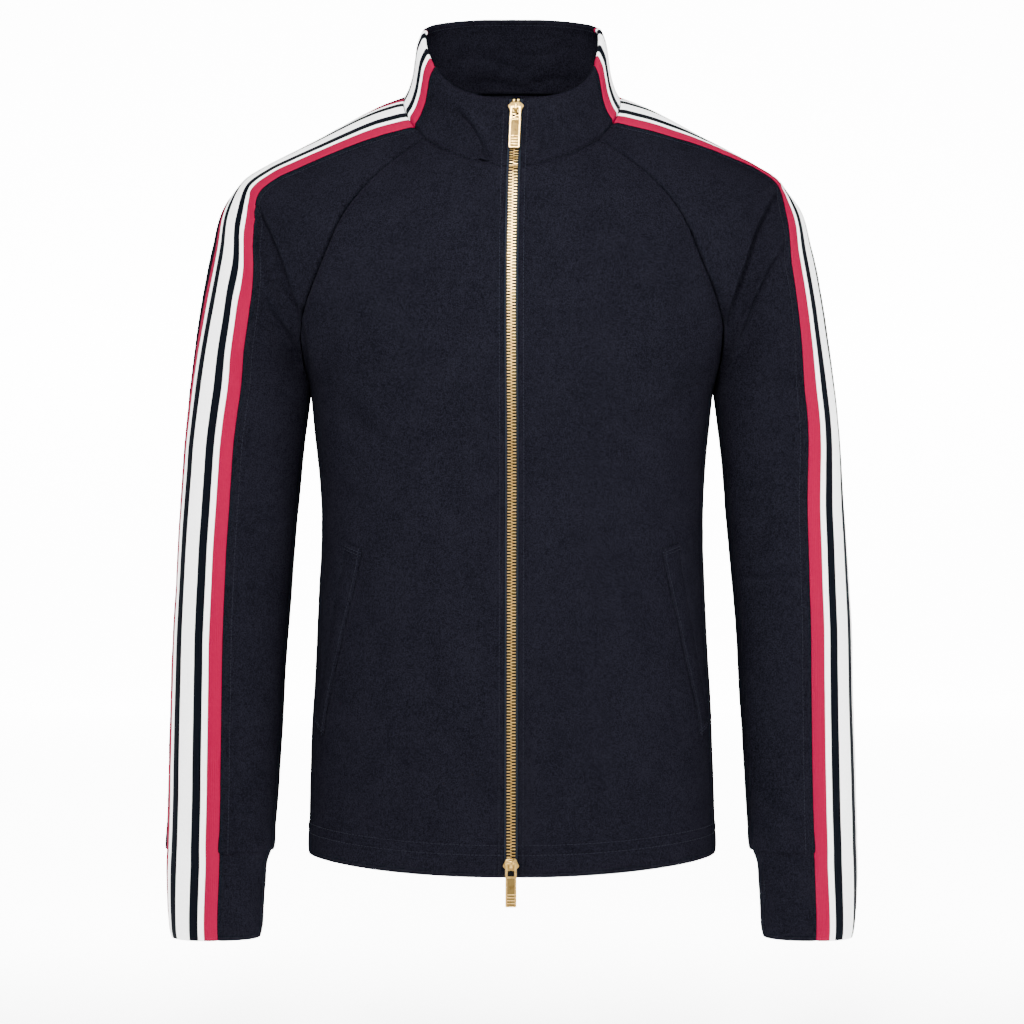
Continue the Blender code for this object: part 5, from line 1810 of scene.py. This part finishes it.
@dataclass
class ZipSlider:
    """One slider of the two-way zip: its body, its crown and the pull tab that hangs from the crown."""

    shop: Workshop
    name: str
    body: str
    wide_end: int
    lean: float
    pivot_height: float = 4.2
    front_plate: tuple[float, float] = (0.9, 2.3)
    back_plate: tuple[float, float] = (-4.1, -2.8)
    half_plate: Outline = (
        (0.0, -4.3), (2.9, -4.3), (4.2, -3.6), (4.7, -2.4), (5.4, -0.4), (6.5, 1.5), (6.6, 2.4), (5.9, 3.4),
        (4.2, 4.9), (3.0, 5.8), (1.9, 6.2), (0.8, 5.8), (0.0, 5.6),
    )
    rail: Outline = ((3.3, -3.9), (4.1, -2.4), (4.8, -0.4), (5.7, 1.4), (5.8, 2.4))
    rail_width: float = 0.8
    post: Outline = ((0, 1.0), (1.5, 3.4), (0, 5.0), (-1.5, 3.4))
    arch: Outline = ((3.5, 5.0), (2.3, 6.7), (-2.3, 6.7), (-3.5, 5.0))
    under_arch: Outline = ((-1.6, 5.2), (-1.1, 5.5), (1.1, 5.5), (1.6, 5.2))
    tab_half_width: float = 4.6
    tab_length: float = 36.5
    tab_thickness: float = 1.0
    window_half_width: float = 2.8
    window_length: float = 9.6
    rim: float = 1.45
    relief: float = 0.34
    rib_from_foot: tuple[float, ...] = (3.2, 5.6, 8.0, 10.4)
    rib_half_height: float = 0.46

    def body_form(self) -> MetalForm:
        """The two plates, the post between them, the rails that hold the teeth, and the zip's top stops."""
        form = MetalForm()
        half, under, over = self.half_plate, self.back_plate[1] - 0.3, self.front_plate[0] + 0.3
        outline = np.array(rounded([*half, *((-x, y) for x, y in half[-2:0:-1])], 0.9, 2))
        form.slab(outline, *self.front_plate, 0.45, matt=0.4)
        form.slab(outline * 0.88, *self.back_plate, 0.4)
        form.slab(rounded(self.post, 0.5, 2), under, over, 0.1)
        for side in (-1, 1):
            ring = [(side * x, y) for x, y in self.rail]
            ring += [(side * (x - self.rail_width), y) for x, y in self.rail[::-1]]
            for levels in ((-0.1, over), (under, -1.8)):
                form.slab(ring[::side], *levels, 0.1)
        for side in (-1, 1) if self.wide_end > 0 else ():
            form.slab(box(1.0, 8.6, 6.8, 0.4, 3, side * 1.7), -1.8, 1.0, 0.35)
        form.points = [(x, self.wide_end * y, out) for x, y, out in form.points]
        return form

    def crown_form(self) -> MetalForm:
        """The bridge that the tab hangs from, rising at both ends of the front plate."""
        form, low = MetalForm(), self.front_plate[1] - 0.2
        arch = [(3.6, low), *self.arch, (-3.6, low), (-1.7, low), *self.under_arch, (1.7, low)]
        form.slab(rounded(arch, 0.8, 3), -1.25, 1.25, 0.4, order=(1, 2, 0))
        return form

    def tab_form(self) -> MetalForm:
        """The tab, from its pivot down: a framed plate with a window, a duller, darker sunk panel and ribs at
        the foot.
        """
        form = MetalForm()
        half, wide = self.tab_thickness / 2, self.tab_half_width
        crest = half + self.relief
        foot, low = crest - self.tab_length, -crest - self.window_length
        window = box(self.window_half_width, -crest, low, 0.9)
        form.slab(box(wide, crest, foot, 1.3), -half, half, 0.25, window)
        top, bottom, opening = low - self.rim, foot + self.rim * 0.8, wide - self.rim
        form.slab(box(opening + 0.2, top, bottom, 0.5), -half - 0.03, half + 0.03, 0.02, matt=0.78)
        for face in (1, -1):
            levels = sorted((face * (half - 0.15), face * crest))
            form.slab(box(wide - 0.05, crest - 0.05, top, 1.2), *levels, 0.2, window)
            form.slab(box(wide - 0.05, low, foot + 0.05, 1.2), *levels, 0.2, box(opening, top, bottom, 0.6))
            for rib in (foot + away for away in self.rib_from_foot):
                ends = (rib + self.rib_half_height, rib - self.rib_half_height)
                form.slab(box(opening + 0.2, *ends, 0.3), *levels, 0.2)
        return form

    def build(self, pivot: Floats, axes: Floats) -> None:
        """Makes the body, the crown and the tab.

        Args:
            pivot: the tab's pivot in millimetres.
            axes: the slider's own axes: across, up along the zip, outwards.
        """
        place = pivot - axes[2] * self.pivot_height
        rise, fall = math.cos(math.radians(self.lean)), math.sin(math.radians(self.lean))
        across, up, out = axes
        leaning = np.array([across, rise * up + fall * out, rise * out - fall * up])
        for form, suffix, origin, turned, body in (
            (self.body_form(), "slider", place, axes, JACKET),
            (self.crown_form(), "slider_crown", place, axes, JACKET),
            (self.tab_form(), "pull_tab", pivot, leaning, self.body),
        ):
            node = f"{self.name}_{suffix}"
            mesh = form.mesh(f"{node}_brass", origin, turned, self.shop.finishes["zip_metal"])
            self.shop.metal(add_object(mesh.name, mesh), body, node)


@dataclass
class Zip:
    """The two-way zip: its two woven tapes, its chain of teeth and its two sliders."""

    shop: Workshop
    pitch: float = 2.6
    slider_from_end: float = 11.5
    tape_across: tuple[float, ...] = (0.1, 1.6, 3.4, 4.4, 5.6, 7.0, 9.0, 11.2)
    tape_depth: tuple[float, ...] = (-0.85, -0.8, -0.75, -0.85, -1.3, -2.2, -2.7, -3.1)
    tape_cloth: float = 0.8
    tooth_depth: float = -0.95
    tooth_heel: float = 1.2
    tooth_half: Outline = ((3.6, 0.4), (3.0, 0.5), (1.2, 0.5), (0.5, 0.42), (-0.15, 0.36), (-0.6, 0.22))
    tooth_rings: tuple[Point, ...] = ((0.1, 0.8, 0.92), (0.3, 1, 1), (1.2, 1, 1), (1.45, 0.8, 0.92))
    tape_cut: Cut = Cut(0.0125, 0.712, 0.0088)

    def tooth(self, side: Side) -> Item:
        """One stamped tooth, to be removed once used: a square heel on its tape and a narrower head.

        Its rings are a height, and how much narrower and shorter the tooth is there.
        """
        outline = [*self.tooth_half, *((x, -z) for x, z in self.tooth_half[::-1])]
        form, heel, count = MetalForm(), self.tooth_heel, len(outline)
        form.points = [
            (side.value * (heel + (x - heel) * shorter), height, z * narrower)
            for height, narrower, shorter in self.tooth_rings
            for x, z in outline
        ]
        last = len(form.points) - count
        form.faces = walls(count, len(self.tooth_rings)) + [tuple(range(k, k + count)) for k in (0, last)]
        # The flanks are fully matt: dark brass as painted shade, for the gaps between the teeth.
        form.matt = [1.0] * (2 * count)
        mesh = form.mesh("tooth", np.zeros(3), np.eye(3), self.shop.finishes["zip_metal"])
        return bpy.data.objects.new("tooth", mesh)

    def tapes(self, zip_line: ZipLine) -> None:
        """Makes the two tapes, which dip under the cloth's edges."""
        places = np.linspace(0, len(zip_line.line) - 1, 200).astype(int)
        line, out = zip_line.line[places], zip_line.out[places]
        for side in Side:
            columns = [
                line + out * depth + [side.value * across, 0, 0]
                for across, depth in zip(self.tape_across, self.tape_depth)
            ]
            points = np.stack(columns, axis=1)
            grid = ClothGrid(f"zip_tape_{side.hand}", points, points - out[:, None] * 5, self.tape_cloth)
            self.shop.cloth(grid, "zip_tape", self.tape_cut, [f"front_{side.hand}"])

    def chain(self, zip_line: ZipLine, start: float, end: float) -> None:
        """Makes the teeth of each side, each half a pitch from the other's.

        Args:
            zip_line: the zip's line.
            start: where the teeth start along it.
            end: where they end.
        """
        repeat = RepeatAlong("teeth_along_the_tape", "X")
        sunk = zip_line.line + zip_line.out * self.tooth_depth
        # The pitch is a hair over, so that the last tooth of an even path isn't set twice.
        values = {"Pitch": self.pitch * 1.0001, "Turn": 0.0, "Seed": 1}
        values["Material"] = self.shop.finishes["zip_metal"]
        for side, shift in ((Side.RIGHT, 0.0), (Side.LEFT, self.pitch / 2)):
            count = int((end - start - shift) / self.pitch)
            path = at_lengths(sunk, start + shift + np.linspace(0, count * self.pitch, 4 * count + 1))
            tooth = self.tooth(side)
            chain = repeat.build(f"zip_teeth_{side.hand}", [path], Piece=tooth, **values)
            bpy.data.objects.remove(tooth)
            self.shop.metal(chain, JACKET, f"zip_chain_{side.hand}")

    def build(self) -> None:
        """Makes the whole zip."""
        collar, front = self.shop.grids["collar_front_left"], self.shop.grids["front_left"]
        line = ZipLine(collar.points[: -Collar(self.shop).rolled_rows], front)
        self.tapes(line)
        top, foot = self.slider_from_end, length_of(line.line) - self.slider_from_end
        self.chain(line, top, foot)
        hinges = {joint["name"]: joint["pos_m"] for joint in frame["joints"]}
        for name, body, wide_end, lean, distance in (
            ("top", TOP_PULL, 1, 4.5, top), ("bottom", BOTTOM_PULL, -1, 0.0, foot)
        ):
            pivot = np.array(hinges[f"{name}_pull_hinge"]) / TO_METRES
            ZipSlider(self.shop, name, body, wide_end, lean).build(pivot, line.frame(distance))


# ------------------------------------------------------------------ studio


@dataclass(frozen=True)
class PaperSweep(Finish):
    """A matt white paper sweep behind the jacket, with a painted glow: it emits light of its own, though it
    is no lamp.

    It glows in a soft disc at the camera's height, brighter from in front of the jacket to behind it, over
    the two depths. The disc is full within the reach's start and gone at its end. Its lengths are metres.
    """

    name: str = "paper_sweep_matt_white"
    colour: str = "fafafa"
    light: str = "ffffff"
    glow: float = 11.0
    depths: tuple[float, float] = (-0.8, 0.95)
    reach: tuple[float, float] = (1.9, 2.4)
    height: float = -0.3325

    def surface(self, tree: Tree) -> dict:
        """White paper with its glow."""
        smooth = {"interpolation_type": "SMOOTHSTEP"}
        where = add_node(tree, "ShaderNodeTexCoord", output="Object")
        depth = add_node(tree, "ShaderNodeSeparateXYZ", {0: where}, "Y")
        flat = add_node(tree, "ShaderNodeVectorMath", {0: where, 1: (1.0, 0.0, 1.0)}, operation="MULTIPLY")
        away = {0: flat, 1: (0.0, 0.0, self.height)}
        away = add_node(tree, "ShaderNodeVectorMath", away, "Value", operation="DISTANCE")
        rising = spread(tree, depth, *self.depths, 0.0, self.glow, **smooth)
        glow = combine(tree, "MULTIPLY", rising, spread(tree, away, *self.reach, 1.0, 0.0, **smooth))
        paper = {"Base Color": linear(self.colour), "Roughness": 0.9, "Specular IOR Level": 0.1}
        # Painted light: the paper glows by its own emission.
        return {**paper, "Emission Color": linear(self.light), "Emission Strength": glow}


@dataclass
class Studio:
    """A plain pale sweep, large soft lights and a camera level with the jacket's middle, all in metres."""

    camera_place: Point = (0, -2.6, -0.3325)
    lens: float = 106.3
    sensor: float = 36.0
    floor: float = -0.80
    sweep_radius: float = 0.9
    sweep_start: float = 4.6
    sweep_front: float = -4.0
    sweep_top: float = 4.0
    sweep_half_width: float = 5.0
    room: float = 0.31
    # Each light: its name, where it stands, what it faces, its size, its watts and its throw in degrees.
    lights: tuple[tuple, ...] = (
        ("key", (-0.2, -2.0, 0.95), (0, 0, -0.23), (0.6, 0.6), 10, 38),
        ("card", (0.3, -2.9, -0.1), (0, 0, -0.33), (2.2, 2.2), 30, 180),
        ("side_left", (-1.9, -1.1, -0.1), (0, 0, -0.35), (0.8, 1.2), 28, 180),
        ("side_right", (1.9, -1.1, -0.1), (0, 0, -0.35), (0.8, 1.2), 56, 180),
        ("strip", (0, -1.25, 1.75), (0, 0, -0.05), (0.25, 0.9), 9, 180),
        ("top", (0, 0.0, 2.2), (0, 0, 0), (2.2, 1.6), 18, 180),
    )

    def sweep(self) -> None:
        """Makes the floor and the backdrop as one curved sheet."""
        start, radius = self.sweep_start, self.sweep_radius
        curve = [
            (start + radius * math.sin(turn), self.floor + radius * (1 - math.cos(turn)))
            for turn in np.radians(np.arange(10, 91, 10))
        ]
        profile = [(self.sweep_front, self.floor), (start, self.floor), *curve]
        profile.append((start + radius, self.sweep_top))
        points = [(x, y, z) for y, z in profile for x in (-self.sweep_half_width, self.sweep_half_width)]
        faces = [(2 * k, 2 * k + 1, 2 * k + 3, 2 * k + 2) for k in range(len(profile) - 1)]
        mesh = new_mesh("sweep", np.array(points) / TO_METRES, faces, PaperSweep().material())
        add_object("sweep", mesh)

    def build(self) -> None:
        """Makes the whole studio."""
        self.sweep()
        for name, place, target, size, watts, throw in self.lights:
            data = bpy.data.lights.new(name, "AREA")
            data.shape, data.size, data.size_y, data.energy = "RECTANGLE", *size, watts
            data.spread = math.radians(throw)
            lamp = add_object(name, data)
            lamp.location, lamp.visible_camera = place, False
            lamp.rotation_euler = (Vector(target) - Vector(place)).to_track_quat("-Z", "Y").to_euler()
        scene = bpy.context.scene
        scene.world = bpy.data.worlds.new("soft_room")
        scene.world.use_nodes = True
        tree = scene.world.node_tree
        tree.nodes.clear()
        sky = add_node(tree, "ShaderNodeBackground", {"Color": linear("ffffff"), "Strength": self.room})
        add_node(tree, "ShaderNodeOutputWorld", {"Surface": sky})
        data = bpy.data.cameras.new("camera")
        data.lens, data.sensor_width = self.lens, self.sensor
        scene.camera = add_object("camera", data)
        scene.camera.location, scene.camera.rotation_euler = self.camera_place, (math.pi / 2, 0, 0)


def main() -> None:
    """Builds the studio, then the jacket's pieces in order."""
    logging.basicConfig(level=logging.INFO, format="%(name)s: %(message)s")
    Studio().build()
    shop = Workshop()
    Body(shop).build()
    for side in Side:
        Sleeve(shop, side).build()
    Collar(shop).build()
    Zip(shop).build()


if __name__ == "__main__":
    main()
